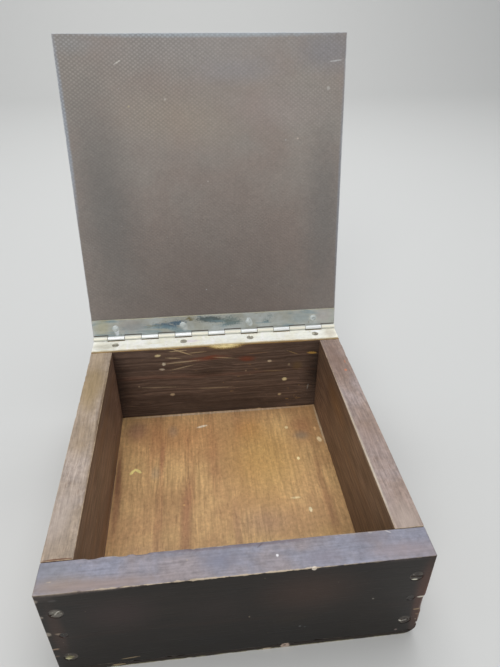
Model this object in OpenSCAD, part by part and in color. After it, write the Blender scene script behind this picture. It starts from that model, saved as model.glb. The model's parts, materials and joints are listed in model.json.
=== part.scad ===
// Wooden box with a thin lid on a continuous hinge.
// The lid stands open at rest, leaning back on the top rear edge of the back board.
// Origin: middle of the box's footprint, on its underside. X to the right, Y to the back, Z up.

/* [Box] */
// Width of the box, left to right
box_w = 187; // [160:1:260]
// Depth of the box, front to back
box_d = 205; // [180:1:280]
// Height of the four boards
board_h = 65; // [60:1:100]
// Thickness of the front and back boards
end_t = 16.8; // [16:0.2:20]
// Thickness of the left and right boards
side_t = 15.4; // [12:0.2:20]
// Thickness of the base panel under the boards
base_t = 3; // [2.5:0.5:6]
// Radius of the eased outer corners
corner_r = 1.6; // [0.6:0.2:3]

/* [Lid] */
// Thickness of the hardboard lid
lid_t = 3; // [2:0.5:4]
// How far the closed lid stands out past the front board
lid_overhang = 0.9; // [0:0.1:4]
// How far the lid runs behind the hinge pin, which sets where it stops
lid_tail = 1.6; // [1:0.1:1.6]
// Angle of the lid at rest, measured up from lying flat
lid_open = 100.5; // [95:0.5:100.5]
// Radius of the lid's corners
lid_corner_r = 0.8; // [0.4:0.1:3]

/* [Hinge] */
// Length of the continuous hinge
hinge_l = 186; // [150:0.5:186]
// Length of one knuckle and its gap
knuckle_pitch = 12.7; // [12.7:0.1:13]
// Gap between neighbouring knuckles
knuckle_gap = 0.3; // [0.2:0.1:0.6]
// Outer radius of a knuckle
knuckle_r = 1.85; // [1.8:0.05:1.9]
// Radius of the hinge pin
pin_r = 1; // [0.9:0.05:1]
// Thickness of the hinge's sheet metal
leaf_t = 0.9; // [0.7:0.1:0.9]
// Reach of each leaf from the pin
leaf_reach = 14.6; // [13:0.1:16]
// Distance of the leaves' holes from the pin
leaf_hole_reach = 7.4; // [6:0.1:8.5]
// Distance of the pin in front of the back face
pin_inset = 1.7; // [1.7:0.1:2]
// Height of the pin above the boards
pin_lift = 2.1; // [2.1:0.05:2.2]

/* [Fasteners] */
// Head radius of the screws that hold the corners
corner_head_r = 3.5; // [3:0.1:4]
// Shank radius of the corner screws
corner_shank_r = 1.75; // [1.5:0.05:2]
// Length of the corner screws
corner_screw_l = 32; // [26:1:40]
// Depth below the boards' top of the upper corner screws
upper_screw_drop = 15.5; // [10:0.5:20]
// Depth below the boards' top of the lower corner screws
lower_screw_drop = 54; // [44:0.5:56]
// Head radius of the screws in the box's leaf
leaf_head_r = 2.75; // [2.4:0.05:3]
// Shank radius of the leaf screws
leaf_shank_r = 1.3; // [1.1:0.05:1.5]
// Length of the leaf screws
leaf_screw_l = 12; // [8:1:16]
// Head radius of the lid's rivets
rivet_head_r = 2.5; // [2:0.1:3]
// Shank radius of the rivets
rivet_shank_r = 1.2; // [1:0.1:1.5]
// Height of a rivet's head on the leaf
rivet_head_h = 0.8; // [0.5:0.1:0.8]
// Height of a rivet's head on the outside of the lid
rivet_tail_h = 0.5; // [0.4:0.1:1]
// Shank radius of the corner nails
nail_r = 1; // [0.8:0.1:1.3]
// Length of the corner nails
nail_l = 38; // [30:1:45]
// Shank radius of the pins that hold the base
base_nail_r = 0.7; // [0.5:0.1:1]
// Length of the base pins
base_nail_l = 20; // [14:1:24]

/* [Hidden] */
corner_names = ["left_upper", "left_lower", "right_upper", "right_lower"];
side_names = ["left", "right"];

$fn = 48;
tiny = 0.01;                    // overlap that joins shapes cleanly
through = 1;                    // how far a cutter runs past a face
slip = 0.03;                    // clearance round a fastener in its hole
running_slip = 0.05;            // clearance of the pin in the lid's knuckles
seated_slip = 0.02;             // clearance of the pin in the box's knuckles
notch_slip = 0.35;              // clearance of a knuckle in its notch

front_y = -box_d / 2;
back_y = box_d / 2;
top_z = base_t + board_h;
side_l = box_d - 2 * end_t;
side_x = (box_w - side_t) / 2;  // middle of a side board's thickness

pin_y = back_y - pin_inset;
pin_z = top_z + pin_lift;
flat_near = pin_lift - leaf_t;  // the leaves' facing surfaces, from the pin
flat_far = pin_lift;            // the leaves' outer surfaces, from the pin
lid_reach = pin_y - front_y + lid_overhang;

inner_knuckles = 13;            // full-length knuckles, the rest is in two end ones
end_knuckle_l = (hinge_l - inner_knuckles * knuckle_pitch) / 2;
lid_knuckles = [for (i = [-3:3]) 2 * i * knuckle_pitch];
box_knuckles = [for (i = [-2.5:2.5]) 2 * i * knuckle_pitch];
end_knuckle_x = (hinge_l - end_knuckle_l) / 2;
leaf_holes = [-6, -2, 2, 6] * knuckle_pitch;

slot_w = 0.9;                   // width of a screw's slot
slot_depth = 0.7;               // depth of a screw's slot
thread_pitch = 1.6;             // spacing of a screw's thread
thread_depth = 0.22;            // share of the shank radius that the thread cuts away
thread_start = 0.35;            // share of the screw left plain under its head
tip_l = 2.5;                    // length of a screw's point
tip_r = 0.15;                   // radius of a screw's blunt tip
nail_head_r = 1.9;              // head of a corner nail
nail_head_h = 1;                // height of that head
nail_sink = 0.3;                // how deep the nails are punched in
nail_drop = 34;                 // depth of the corner nails below the boards' top
base_nail_head_r = 1.4;         // head of a base pin
base_nail_head_h = 0.7;         // height of that head
base_nails_across = [-60, 0, 60];
base_nails_along = [-52.5, 0, 52.5];
pin_head_r = 1.4;               // peened end of the hinge pin
pin_head_h = 0.4;               // height of that end
screw_turns = [20, 75, -35, 50];

dark_oak = "#3b2720";
side_brown = "#6b5146";
floor_brown = "#8a5a33";
board_brown = "#5f5049";
hinge_metal = "#b5ad9b";
screw_metal = "#5c4a3c";
rivet_metal = "#a9a7a4";

// What is cut off a square corner to leave it round; the corner is at the origin
module corner_waste(r) {
    difference() {
        translate([-through, -through]) square(r + through);
        translate([r, r]) circle(r);
    }
}

// Rectangle in plan, w by d from the origin, with its two near corners rounded
module near_rounded(w, d, r) {
    difference() {
        square([w, d]);
        corner_waste(r);
        translate([w, 0]) mirror([1, 0]) corner_waste(r);
    }
}

// Rectangle in plan with all four corners rounded
module all_rounded(w, d, r) {
    intersection() {
        near_rounded(w, d, r);
        translate([0, d]) mirror([0, 1]) near_rounded(w, d, r);
    }
}

// Half outline of a countersunk screw, point down, head's face at zero height
module screw_half(head_r, shank_r, length) {
    neck = head_r - shank_r;
    start = max(neck + 1, length * thread_start);
    turns = floor((length - tip_l - start) / thread_pitch);
    core_r = shank_r * (1 - thread_depth);
    thread = [for (i = [0:turns - 1]) each [
        [shank_r, -start - i * thread_pitch],
        [core_r, -start - (i + 0.5) * thread_pitch]
    ]];
    polygon(concat(
        [[0, 0], [head_r, 0], [shank_r, -neck]],
        thread,
        [[shank_r, -length + tip_l], [tip_r, -length], [0, -length]]
    ));
}

// Slotted countersunk screw, pointing down
module screw(head_r, shank_r, length, turn) {
    difference() {
        rotate_extrude() screw_half(head_r, shank_r, length);
        rotate([0, 0, turn])
            translate([-head_r - through, -slot_w / 2, -slot_depth])
                cube([2 * (head_r + through), slot_w, slot_depth + through]);
    }
}

// Hole that a screw of the same size sits in
module screw_hole(head_r, shank_r, length) {
    neck = head_r - shank_r;
    wide = head_r + slip;
    narrow = shank_r + slip;
    rotate_extrude() polygon([
        [0, through], [wide, through], [wide, 0], [narrow, -neck],
        [narrow, -length + tip_l], [tip_r + slip, -length - slip], [0, -length - slip]
    ]);
}

// Nail with a flat head and a short point, pointing down; grow widens it into its hole
module nail(head_r, head_h, r, length, grow) {
    translate([0, 0, -head_h - grow]) cylinder(r = head_r + grow, h = head_h + grow);
    translate([0, 0, -length + 2 * r]) cylinder(r = r + grow, h = length - 2 * r - head_h);
    translate([0, 0, -length]) cylinder(r1 = tip_r + grow, r2 = r + grow, h = 2 * r + tiny);
}

// Low dome of a rivet, standing up from zero height
module rivet_dome(r, h) {
    ball_r = (r * r + h * h) / (2 * h);
    intersection() {
        translate([0, 0, h - ball_r]) sphere(ball_r);
        cylinder(r = r, h = h);
    }
}

// Turns what points down so that it goes in from the front (1) or the back (-1) of the box
module into_end(facing) {
    translate([0, facing * front_y, 0]) rotate([facing * 90, 0, 0]) children();
}

// Places of the four screws in one end of the box
module at_corner_screw(i, facing) {
    x = (i < 2 ? -1 : 1) * side_x;
    z = top_z - (i % 2 == 0 ? upper_screw_drop : lower_screw_drop);
    translate([x, 0, z]) into_end(facing) children();
}

// Places of the two nails in one end of the box
module at_corner_nail(i, facing) {
    x = (i < 1 ? -1 : 1) * side_x;
    translate([x, facing * nail_sink, top_z - nail_drop]) into_end(facing) children();
}

// Holes for the screws and nails in one end of the box
module corner_holes(facing) {
    for (i = [0:3])
        at_corner_screw(i, facing) screw_hole(corner_head_r, corner_shank_r, corner_screw_l);
    for (i = [0:1])
        at_corner_nail(i, facing) {
            nail(nail_head_r, nail_head_h, nail_r, nail_l, slip);
            cylinder(r = nail_head_r + slip, h = through);
        }
}

// Places of the pins that hold the base panel, pointing up into the boards
module at_base_nails() {
    for (x = base_nails_across, side = [-1, 1])
        translate([x, side * (back_y - end_t / 2), nail_sink]) rotate([180, 0, 0]) children();
    for (y = base_nails_along, side = [-1, 1])
        translate([side * side_x, y, nail_sink]) rotate([180, 0, 0]) children();
}

// Holes for the base pins
module base_nail_holes() {
    at_base_nails() {
        nail(base_nail_head_r, base_nail_head_h, base_nail_r, base_nail_l, slip);
        cylinder(r = base_nail_head_r + slip, h = through);
    }
}

// Places of the leaves' holes on the top of the box
module at_leaf_hole(x) {
    translate([x, pin_y - leaf_hole_reach, top_z + leaf_t]) children();
}

// Puts a part drawn for the flat lid, with the pin along X at zero, where the open lid is
module on_lid() {
    translate([0, pin_y, pin_z]) rotate([-lid_open, 0, 0]) children();
}

// Barrel of one knuckle along X
module knuckle(x, length) {
    translate([x - length / 2, 0, 0]) rotate([0, 90, 0]) cylinder(r = knuckle_r, h = length);
}

// Cutter that clears the other leaf's knuckle out of a leaf that lies between low and high
module knuckle_notch(x, length, low, high) {
    reach = knuckle_r + notch_slip;
    translate([x - length / 2, -reach, low - through])
        cube([length, reach + through, high - low + 2 * through]);
}

module front_board() {
    color(dark_oak) difference() {
        translate([-box_w / 2, front_y, base_t])
            linear_extrude(board_h) near_rounded(box_w, end_t, corner_r);
        corner_holes(1);
        base_nail_holes();
    }
}

module back_board() {
    color(dark_oak) difference() {
        translate([-box_w / 2, back_y, base_t]) mirror([0, 1, 0])
            linear_extrude(board_h) near_rounded(box_w, end_t, corner_r);
        corner_holes(-1);
        base_nail_holes();
        for (x = leaf_holes) at_leaf_hole(x) screw_hole(leaf_head_r, leaf_shank_r, leaf_screw_l);
    }
}

module side_board(side) {
    color(side_brown) difference() {
        translate([side * side_x - side_t / 2, -side_l / 2, base_t]) cube([side_t, side_l, board_h]);
        corner_holes(1);
        corner_holes(-1);
        base_nail_holes();
    }
}

module base_panel() {
    color(floor_brown) difference() {
        translate([-box_w / 2, front_y, 0]) linear_extrude(base_t) all_rounded(box_w, box_d, corner_r);
        base_nail_holes();
    }
}

module lid_panel() {
    color(board_brown) on_lid() difference() {
        translate([-box_w / 2, -lid_reach, flat_far])
            linear_extrude(lid_t) all_rounded(box_w, lid_reach + lid_tail, lid_corner_r);
        for (x = leaf_holes)
            translate([x, -leaf_hole_reach, 0]) cylinder(r = rivet_shank_r + slip, h = flat_far + lid_t + through);
    }
}

module hinge_box_leaf() {
    color(hinge_metal) difference() {
        translate([0, pin_y, pin_z]) difference() {
            union() {
                translate([-hinge_l / 2, -leaf_reach, -flat_far]) cube([hinge_l, leaf_reach, leaf_t]);
                for (x = box_knuckles) knuckle(x, knuckle_pitch - knuckle_gap);
                for (side = [-1, 1])
                    knuckle(side * (end_knuckle_x + knuckle_gap / 4), end_knuckle_l - knuckle_gap / 2);
            }
            for (x = lid_knuckles)
                knuckle_notch(x, knuckle_pitch + knuckle_gap, -flat_far, -flat_near);
            translate([-hinge_l / 2 - through, 0, 0]) rotate([0, 90, 0])
                cylinder(r = pin_r + seated_slip, h = hinge_l + 2 * through);
        }
        for (x = leaf_holes) at_leaf_hole(x) screw_hole(leaf_head_r, leaf_shank_r, leaf_screw_l);
    }
}

module hinge_lid_leaf() {
    color(hinge_metal) on_lid() difference() {
        union() {
            translate([-hinge_l / 2, -leaf_reach, flat_near]) cube([hinge_l, leaf_reach, leaf_t]);
            for (x = lid_knuckles) knuckle(x, knuckle_pitch - knuckle_gap);
        }
        for (x = box_knuckles) knuckle_notch(x, knuckle_pitch + knuckle_gap, flat_near, flat_far);
        for (side = [-1, 1])
            knuckle_notch(side * (end_knuckle_x + through / 2), end_knuckle_l + knuckle_gap + through,
                          flat_near, flat_far);
        translate([-hinge_l / 2 - through, 0, 0]) rotate([0, 90, 0])
            cylinder(r = pin_r + running_slip, h = hinge_l + 2 * through);
        for (x = leaf_holes)
            translate([x, -leaf_hole_reach, 0]) cylinder(r = rivet_shank_r + slip, h = flat_far + through);
    }
}

// Straight pin with a small peened dome just outside each end knuckle
module hinge_pin() {
    head_x = hinge_l / 2 + seated_slip;
    color(hinge_metal) translate([0, pin_y, pin_z]) {
        translate([-head_x - tiny, 0, 0]) rotate([0, 90, 0]) cylinder(r = pin_r, h = 2 * (head_x + tiny));
        for (side = [-1, 1])
            translate([side * head_x, 0, 0]) rotate([0, side * 90, 0]) rivet_dome(pin_head_r, pin_head_h);
    }
}

module box_leaf_screw(i) {
    color(rivet_metal) at_leaf_hole(leaf_holes[i - 1])
        screw(leaf_head_r, leaf_shank_r, leaf_screw_l, screw_turns[i - 1]);
}

module lid_leaf_rivet(i) {
    color(rivet_metal) on_lid() translate([leaf_holes[i - 1], -leaf_hole_reach, 0]) {
        translate([0, 0, flat_near - tiny]) cylinder(r = rivet_shank_r, h = leaf_t + lid_t + 2 * tiny);
        translate([0, 0, flat_near]) mirror([0, 0, 1]) rivet_dome(rivet_head_r, rivet_head_h);
        translate([0, 0, flat_far + lid_t]) rivet_dome(rivet_head_r, rivet_tail_h);
    }
}

module corner_screw(i, facing) {
    color(screw_metal) at_corner_screw(i, facing)
        screw(corner_head_r, corner_shank_r, corner_screw_l, screw_turns[i]);
}

module corner_nail(i, facing) {
    color(screw_metal) at_corner_nail(i, facing)
        nail(nail_head_r, nail_head_h, nail_r, nail_l, 0);
}

module base_nails() {
    color(screw_metal) at_base_nails()
        nail(base_nail_head_r, base_nail_head_h, base_nail_r, base_nail_l, 0);
}

front_board();
back_board();
side_board(-1);  // left_side_board
side_board(1);  // right_side_board
base_panel();
lid_panel();
hinge_box_leaf();
hinge_lid_leaf();
hinge_pin();
for (i = [1:4]) {
    box_leaf_screw(i);
    lid_leaf_rivet(i);
}
for (i = [0:3]) {
    corner_screw(i, 1);
    corner_screw(i, -1);
}
for (i = [0:1]) {
    corner_nail(i, 1);
    corner_nail(i, -1);
}
base_nails();
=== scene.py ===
import json
import math

import bpy
import numpy as np
from mathutils import Matrix, Vector


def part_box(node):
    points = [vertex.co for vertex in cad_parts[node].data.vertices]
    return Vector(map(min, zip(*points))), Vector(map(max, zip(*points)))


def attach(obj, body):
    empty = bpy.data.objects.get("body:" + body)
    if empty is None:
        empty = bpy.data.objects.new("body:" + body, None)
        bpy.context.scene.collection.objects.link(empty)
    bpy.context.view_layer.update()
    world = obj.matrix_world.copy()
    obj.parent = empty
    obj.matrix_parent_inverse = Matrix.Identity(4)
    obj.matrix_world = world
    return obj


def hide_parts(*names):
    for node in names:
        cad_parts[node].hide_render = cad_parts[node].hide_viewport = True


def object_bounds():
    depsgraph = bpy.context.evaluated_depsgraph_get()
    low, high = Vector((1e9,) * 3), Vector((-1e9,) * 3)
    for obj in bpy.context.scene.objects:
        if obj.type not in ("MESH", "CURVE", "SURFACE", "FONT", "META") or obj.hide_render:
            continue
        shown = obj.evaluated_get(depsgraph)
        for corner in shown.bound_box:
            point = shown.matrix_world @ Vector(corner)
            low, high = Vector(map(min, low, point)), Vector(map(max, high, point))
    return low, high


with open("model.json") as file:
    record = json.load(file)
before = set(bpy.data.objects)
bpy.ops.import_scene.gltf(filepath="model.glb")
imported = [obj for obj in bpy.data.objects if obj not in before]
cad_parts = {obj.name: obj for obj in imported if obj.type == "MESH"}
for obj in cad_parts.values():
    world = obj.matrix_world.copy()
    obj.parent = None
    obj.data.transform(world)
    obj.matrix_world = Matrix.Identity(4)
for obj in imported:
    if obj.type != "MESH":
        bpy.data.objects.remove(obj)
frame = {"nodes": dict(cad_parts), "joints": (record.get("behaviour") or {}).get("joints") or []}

cadLow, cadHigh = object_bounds()
mm = 0.001
pinPlace = np.array(frame["joints"][0]["pos_m"])
print("frame:", len(frame["nodes"]), "nodes, hinge pin at", pinPlace.round(4))


# numbers into meshes

def softNoise(points, size, seed):
    # random numbers on a lattice of the given cell size, joined by a smooth cubic, from 0 to 1
    cells = 48
    table = np.random.default_rng(seed).random((cells, cells, cells))
    at = points / size
    base = np.floor(at).astype(int)
    part = at - base
    part = part * part * (3 - 2 * part)
    total = np.zeros(len(points))
    for corner in np.ndindex(2, 2, 2):
        weight = np.prod(np.where(corner, part, 1 - part), axis=1)
        i, j, k = ((base + corner) % cells).T
        total += weight * table[i, j, k]
    return total


def smoothStep(low, high, value):
    t = np.clip((value - low) / (high - low), 0, 1)
    return t * t * (3 - 2 * t)


def stops(low, high, coarse, fine, spots):
    # places along one axis, spaced finely round each spot and coarsely away from it
    x = np.linspace(low, high, 6001)
    away = np.min([np.maximum(np.abs(x - centre) - reach, 0) for centre, reach in spots], axis=0)
    spacing = np.minimum(fine + 0.4 * away, coarse)
    count = np.concatenate([[0], np.cumsum(np.diff(x) / spacing[:-1])])
    number = int(np.ceil(count[-1]))
    return np.interp(np.linspace(0, count[-1], number + 1), count, x)


def latticeShell(xs, ys, zs):
    # the outer points of a box lattice and the quads between them, facing outwards
    outer = np.zeros((len(xs), len(ys), len(zs)), bool)
    outer[[0, -1]] = True
    outer[:, [0, -1]] = True
    outer[:, :, [0, -1]] = True
    index = np.full(outer.shape, -1)
    index[outer] = np.arange(outer.sum())
    points = np.stack(np.meshgrid(xs, ys, zs, indexing="ij"), -1)[outer]

    def sheet(numbers, turned):
        quads = [numbers[:-1, :-1], numbers[1:, :-1], numbers[1:, 1:], numbers[:-1, 1:]]
        quads = np.stack(quads, -1).reshape(-1, 4)
        return quads[:, ::-1] if turned else quads

    quads = [sheet(index[0], True), sheet(index[-1], False),
             sheet(index[:, 0], False), sheet(index[:, -1], True),
             sheet(index[:, :, 0], True), sheet(index[:, :, -1], False)]
    return points, np.concatenate(quads)


def rimDistance(points, low, high):
    # how far a point on a box's surface is from the box's nearest edge
    gaps = np.minimum(points - low, high - points)
    return np.sort(gaps, axis=1)[:, 1]


def roundOff(points, low, high, radius):
    # a point nearer an edge than the radius slides onto a round of that radius
    radius = radius[:, None]
    core = np.minimum(np.maximum(points, low + radius), high - radius)
    out = points - core
    length = np.maximum(np.linalg.norm(out, axis=1, keepdims=True), 1e-9)
    return core + out * radius / length, out / length


wander = {"radius": 22 * mm, "chips": 31 * mm, "dip": 37 * mm}   # how far apart the wear's highs and lows are


def wornSlab(low, high, wear, axisSpots=((), (), ())):
    # a box whose edges are worn to a wandering radius, with chips, and whose faces dip a little
    low, high = np.array(low), np.array(high)
    lines = []
    for axis in range(3):
        ends = [(low[axis], wear["rim"]), (high[axis], wear["rim"])]
        lines.append(stops(low[axis], high[axis], wear["coarse"], wear["fine"],
                           ends + list(axisSpots[axis])))
    points, quads = latticeShell(*lines)
    rim = rimDistance(points, low, high)
    seed = wear["seed"]
    radius = wear["radius"] * (0.55 + 0.9 * softNoise(points, wander["radius"], seed))
    bite = softNoise(points, wear["chipSize"], seed + 1) * softNoise(points, wander["chips"], seed + 2)
    radius += wear["chip"] * smoothStep(wear["chipFrom"], wear["chipFrom"] + 0.12, bite)
    radius = np.minimum(radius, 0.48 * (high - low).min())
    moved, outward = roundOff(points, low, high, radius)
    dip = wear["dip"] * softNoise(points, wander["dip"], seed + 3)
    return moved - outward * dip[:, None], quads, rim, points


def sink(points, flat, centre, axis, rim, depth, steep):
    # a dish under a fastener's head: straight walls when steep is large, a cone when it is one
    across = [i for i in range(3) if i != axis]
    away = np.hypot(*(points[:, i] - centre[i] for i in across))
    onFace = np.abs(flat[:, axis] - centre[axis]) < 0.05 * mm
    inward = np.sign(flat[:, axis].mean() - centre[axis])
    deep = np.clip((rim - away) * steep, 0, depth)
    points[:, axis] += inward * np.where(onFace, deep, 0)


def facingOut(points, quads):
    # turns every face round when the shell's signed volume says that they point inwards
    a, b, c, d = (points[quads[:, i]] for i in range(4))
    volume = np.sum(np.cross(b - a, c - a) * a) + np.sum(np.cross(c - a, d - a) * a)
    return quads if volume > 0 else quads[:, [1, 0, 3, 2]]


def makePiece(name, points, quads, body, replaced, material, fields=None):
    # a quad whose last two corners are the same is a triangle
    mesh = bpy.data.meshes.new(name)
    faces = [face[:3] if face[2] == face[3] else face for face in facingOut(points, quads).tolist()]
    mesh.from_pydata(points.tolist(), [], faces)
    mesh.polygons.foreach_set("use_smooth", np.ones(len(mesh.polygons), bool))
    for field, values in (fields or {}).items():
        if values.ndim == 2:
            mesh.attributes.new(field, "FLOAT_VECTOR", "POINT").data.foreach_set("vector", values.ravel())
        else:
            mesh.attributes.new(field, "FLOAT", "POINT").data.foreach_set("value", values)
    mesh.materials.append(material)
    mesh.update()
    piece = bpy.data.objects.new(name, mesh)
    bpy.context.scene.collection.objects.link(piece)
    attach(piece, body)
    if replaced:
        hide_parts(*replaced)
    return piece


# short words for shader nodes

def rgb(red, green, blue):
    # a display colour from 0 to 255 as the linear colour that shaders take
    share = np.array([red, green, blue]) / 255
    linear = np.where(share <= 0.04045, share / 12.92, ((share + 0.055) / 1.055) ** 2.4)
    return (*linear.tolist(), 1.0)


def node(tree, kind, inputs=None, **settings):
    made = tree.nodes.new("ShaderNode" + kind)
    for name, value in settings.items():
        setattr(made, name, value)
    for key, value in (inputs or {}).items():
        if isinstance(value, bpy.types.NodeSocket):
            tree.links.new(value, made.inputs[key])
        else:
            made.inputs[key].default_value = value
    return made


def calc(tree, operation, first, second=0.0, third=0.0, clamp=False):
    made = node(tree, "Math", {0: first, 1: second, 2: third}, operation=operation, use_clamp=clamp)
    return made.outputs[0]


def plus(tree, first, second):
    return calc(tree, "ADD", first, second)


def minus(tree, first, second):
    return calc(tree, "SUBTRACT", first, second)


def times(tree, first, second, clamp=False):
    return calc(tree, "MULTIPLY", first, second, clamp=clamp)


def scaled(tree, value, factor, offset):
    return calc(tree, "MULTIPLY_ADD", value, factor, offset)


def mix(tree, share, first, second):
    return node(tree, "Mix", {0: share, 6: first, 7: second}, data_type="RGBA").outputs[2]


def band(tree, value, low, high):
    # 0 below low, 1 above high, smooth between; high may be the smaller
    made = node(tree, "MapRange", {0: value, 1: low, 2: high, 3: 0.0, 4: 1.0},
                interpolation_type="SMOOTHSTEP")
    return made.outputs[0]


def noise(tree, place, scale, detail=2.0, roughness=0.5, distortion=0.0):
    inputs = {"Vector": place, "Scale": scale, "Detail": detail, "Roughness": roughness,
              "Distortion": distortion}
    return node(tree, "TexNoise", inputs).outputs[0]


def vectorCalc(tree, operation, first, second):
    return node(tree, "VectorMath", {0: first, 1: second}, operation=operation).outputs[0]


def stretch(tree, place, factors):
    return vectorCalc(tree, "MULTIPLY", place, factors)


def parts(tree, vector):
    return node(tree, "SeparateXYZ", {0: vector}).outputs


def newGroup(name, inputs, outputs):
    tree = bpy.data.node_groups.new(name, "ShaderNodeTree")
    for label, kind, value in inputs:
        socket = tree.interface.new_socket(label, in_out="INPUT", socket_type="NodeSocket" + kind)
        if value is not None:
            socket.default_value = value
    for label, kind in outputs:
        tree.interface.new_socket(label, in_out="OUTPUT", socket_type="NodeSocket" + kind)
    return tree, tree.nodes.new("NodeGroupInput").outputs, tree.nodes.new("NodeGroupOutput").inputs


def useGroup(tree, group, **inputs):
    made = tree.nodes.new("ShaderNodeGroup")
    made.node_tree = group
    for key, value in inputs.items():
        if isinstance(value, bpy.types.NodeSocket):
            tree.links.new(value, made.inputs[key])
        else:
            made.inputs[key].default_value = value
    return made.outputs


def newMaterial(name):
    material = bpy.data.materials.new(name)
    material.use_nodes = True
    tree = material.node_tree
    return material, tree, tree.nodes["Principled BSDF"]


def finishShader(tree, shader, colour, roughness, normal, constants):
    for label, value in (("Base Color", colour), ("Roughness", roughness), ("Normal", normal)):
        tree.links.new(value, shader.inputs[label])
    for label, value in constants.items():
        shader.inputs[label].default_value = value


def attribute(tree, name):
    return node(tree, "Attribute", attribute_name=name).outputs


def bump(tree, height, strength, distance):
    return node(tree, "Bump", {"Height": height, "Strength": strength, "Distance": distance}).outputs[0]


# effects that several materials share

def shade(tree, colour, factor):
    return node(tree, "VectorMath", {0: colour, "Scale": factor}, operation="SCALE").outputs[0]


def swing(tree, value, amount):
    # a factor about 1 that a value from 0 to 1 moves up and down
    return scaled(tree, value, amount, 1 - amount / 2)


def grainGroup():
    # wood: streaks drawn out along X, broad figure and short dark pores
    inputs = [("Place", "Vector", None), ("Along", "Float", 25.0), ("Across", "Float", 900.0),
              ("Wander", "Float", 0.6)]
    tree, given, made = newGroup("woodGrain", inputs,
                                 [("Streak", "Float"), ("Figure", "Float"), ("Pores", "Float"),
                                  ("Height", "Float")])
    sway = noise(tree, given["Place"], 22.0, 2.0)
    sway = times(tree, minus(tree, sway, 0.5), given["Wander"])
    swayed = times(tree, sway, 0.01)
    offset = node(tree, "CombineXYZ", {0: 0.0, 1: swayed, 2: swayed}).outputs[0]
    place = vectorCalc(tree, "ADD", given["Place"], offset)
    scale = node(tree, "CombineXYZ", {0: given["Along"], 1: given["Across"], 2: given["Across"]}).outputs[0]
    drawn = stretch(tree, place, scale)
    streak = noise(tree, drawn, 1.0, 4.0, 0.62)
    figure = noise(tree, drawn, 0.13, 3.0, 0.5)
    shorter = stretch(tree, drawn, (5.0, 1.6, 1.6))
    pores = band(tree, noise(tree, shorter, 1.0, 1.0, 0.5), 0.60, 0.74)
    height = scaled(tree, pores, -0.6, streak)
    for label, value in (("Streak", streak), ("Figure", figure), ("Pores", pores), ("Height", height)):
        tree.links.new(value, made[label])
    return tree


def edgeWearAndHighlightGroup():
    # a broken band along the edges, from a piece's own distance to its rim
    inputs = [("Rim", "Float", 0.0), ("Place", "Vector", None), ("Width", "Float", 1.0 * mm),
              ("Ragged", "Float", 0.8), ("Size", "Float", 260.0)]
    tree, given, made = newGroup("edgeWear", inputs, [("Mask", "Float")])
    rough = noise(tree, given["Place"], given["Size"], 3.0, 0.6)
    broad = noise(tree, given["Place"], 34.0, 2.0, 0.5)
    both = scaled(tree, plus(tree, rough, broad), 3.2, -3.2)
    reach = scaled(tree, times(tree, both, given["Ragged"]), given["Width"], given["Width"])
    inside = minus(tree, reach, given["Rim"])
    soft = times(tree, given["Width"], 0.35)
    tree.links.new(calc(tree, "DIVIDE", inside, soft, clamp=True), made["Mask"])
    return tree


def patchGroup():
    # one mark or stain: an ellipsoid with its own turn, ragged and more or less soft at the edge
    inputs = [("Place", "Vector", None), ("Centre", "Vector", None), ("Radii", "Vector", None),
              ("Turn", "Vector", None), ("Soft", "Float", 0.3), ("Ragged", "Float", 0.8),
              ("Size", "Float", 900.0)]
    tree, given, made = newGroup("patch", inputs, [("Mask", "Float")])
    shift = vectorCalc(tree, "SUBTRACT", given["Place"], given["Centre"])
    turned = node(tree, "VectorRotate", {"Vector": shift, "Rotation": given["Turn"]},
                  rotation_type="EULER_XYZ").outputs[0]
    inRadii = vectorCalc(tree, "DIVIDE", turned, given["Radii"])
    size = node(tree, "VectorMath", {0: inRadii}, operation="LENGTH").outputs["Value"]
    ragged = minus(tree, noise(tree, given["Place"], given["Size"], 3.0, 0.6), 0.5)
    size = scaled(tree, ragged, given["Ragged"], size)
    inner = minus(tree, 1.0, given["Soft"])
    tree.links.new(band(tree, size, 1.0, inner), made["Mask"])
    return tree


def grimeGroup():
    # soft blotches, small specks and fine scratches over any surface
    inputs = [("Place", "Vector", None), ("BlotchSize", "Float", 30.0), ("SpeckSize", "Float", 420.0),
              ("SpeckFrom", "Float", 0.72)]
    tree, given, made = newGroup("grime", inputs, [("Blotch", "Float"), ("Speck", "Float"),
                                                   ("Scratch", "Float")])
    blotch = noise(tree, given["Place"], given["BlotchSize"], 4.0, 0.55, 0.4)
    dots = noise(tree, given["Place"], given["SpeckSize"], 0.0)
    where = noise(tree, given["Place"], 45.0, 1.0)
    speckFrom = plus(tree, given["SpeckFrom"], scaled(tree, where, -0.16, 0.08))
    speck = times(tree, minus(tree, dots, speckFrom), 18.0, clamp=True)
    turned = node(tree, "VectorRotate", {"Vector": given["Place"], "Axis": (0.3, 0.5, 0.8), "Angle": 0.7},
                  rotation_type="AXIS_ANGLE").outputs[0]
    lines = noise(tree, stretch(tree, turned, (30.0, 1400.0, 1400.0)), 1.0, 0.0)
    scratch = band(tree, lines, 0.765, 0.80)
    for label, value in (("Blotch", blotch), ("Speck", speck), ("Scratch", scratch)):
        tree.links.new(value, made[label])
    return tree


grain, edgeWear, patch, grime = grainGroup(), edgeWearAndHighlightGroup(), patchGroup(), grimeGroup()


def addMarks(tree, place, colour, marks, size=900.0, ragged=0.8):
    # a mark is its centre and its radii (mm), a display colour, strength, softness and any turn (degrees)
    for mark in marks:
        strength, soft = mark[9:11]
        mask = useGroup(tree, patch, Place=place, Centre=[v * mm for v in mark[:3]],
                        Radii=[v * mm for v in mark[3:6]], Soft=soft, Size=size,
                        Turn=[math.radians(v) for v in mark[11:] or (0, 0, 0)],
                        Ragged=ragged * (1 - 0.7 * soft))["Mask"]
        colour = mix(tree, times(tree, mask, strength), colour, rgb(*mark[6:9]))
    return colour


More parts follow.
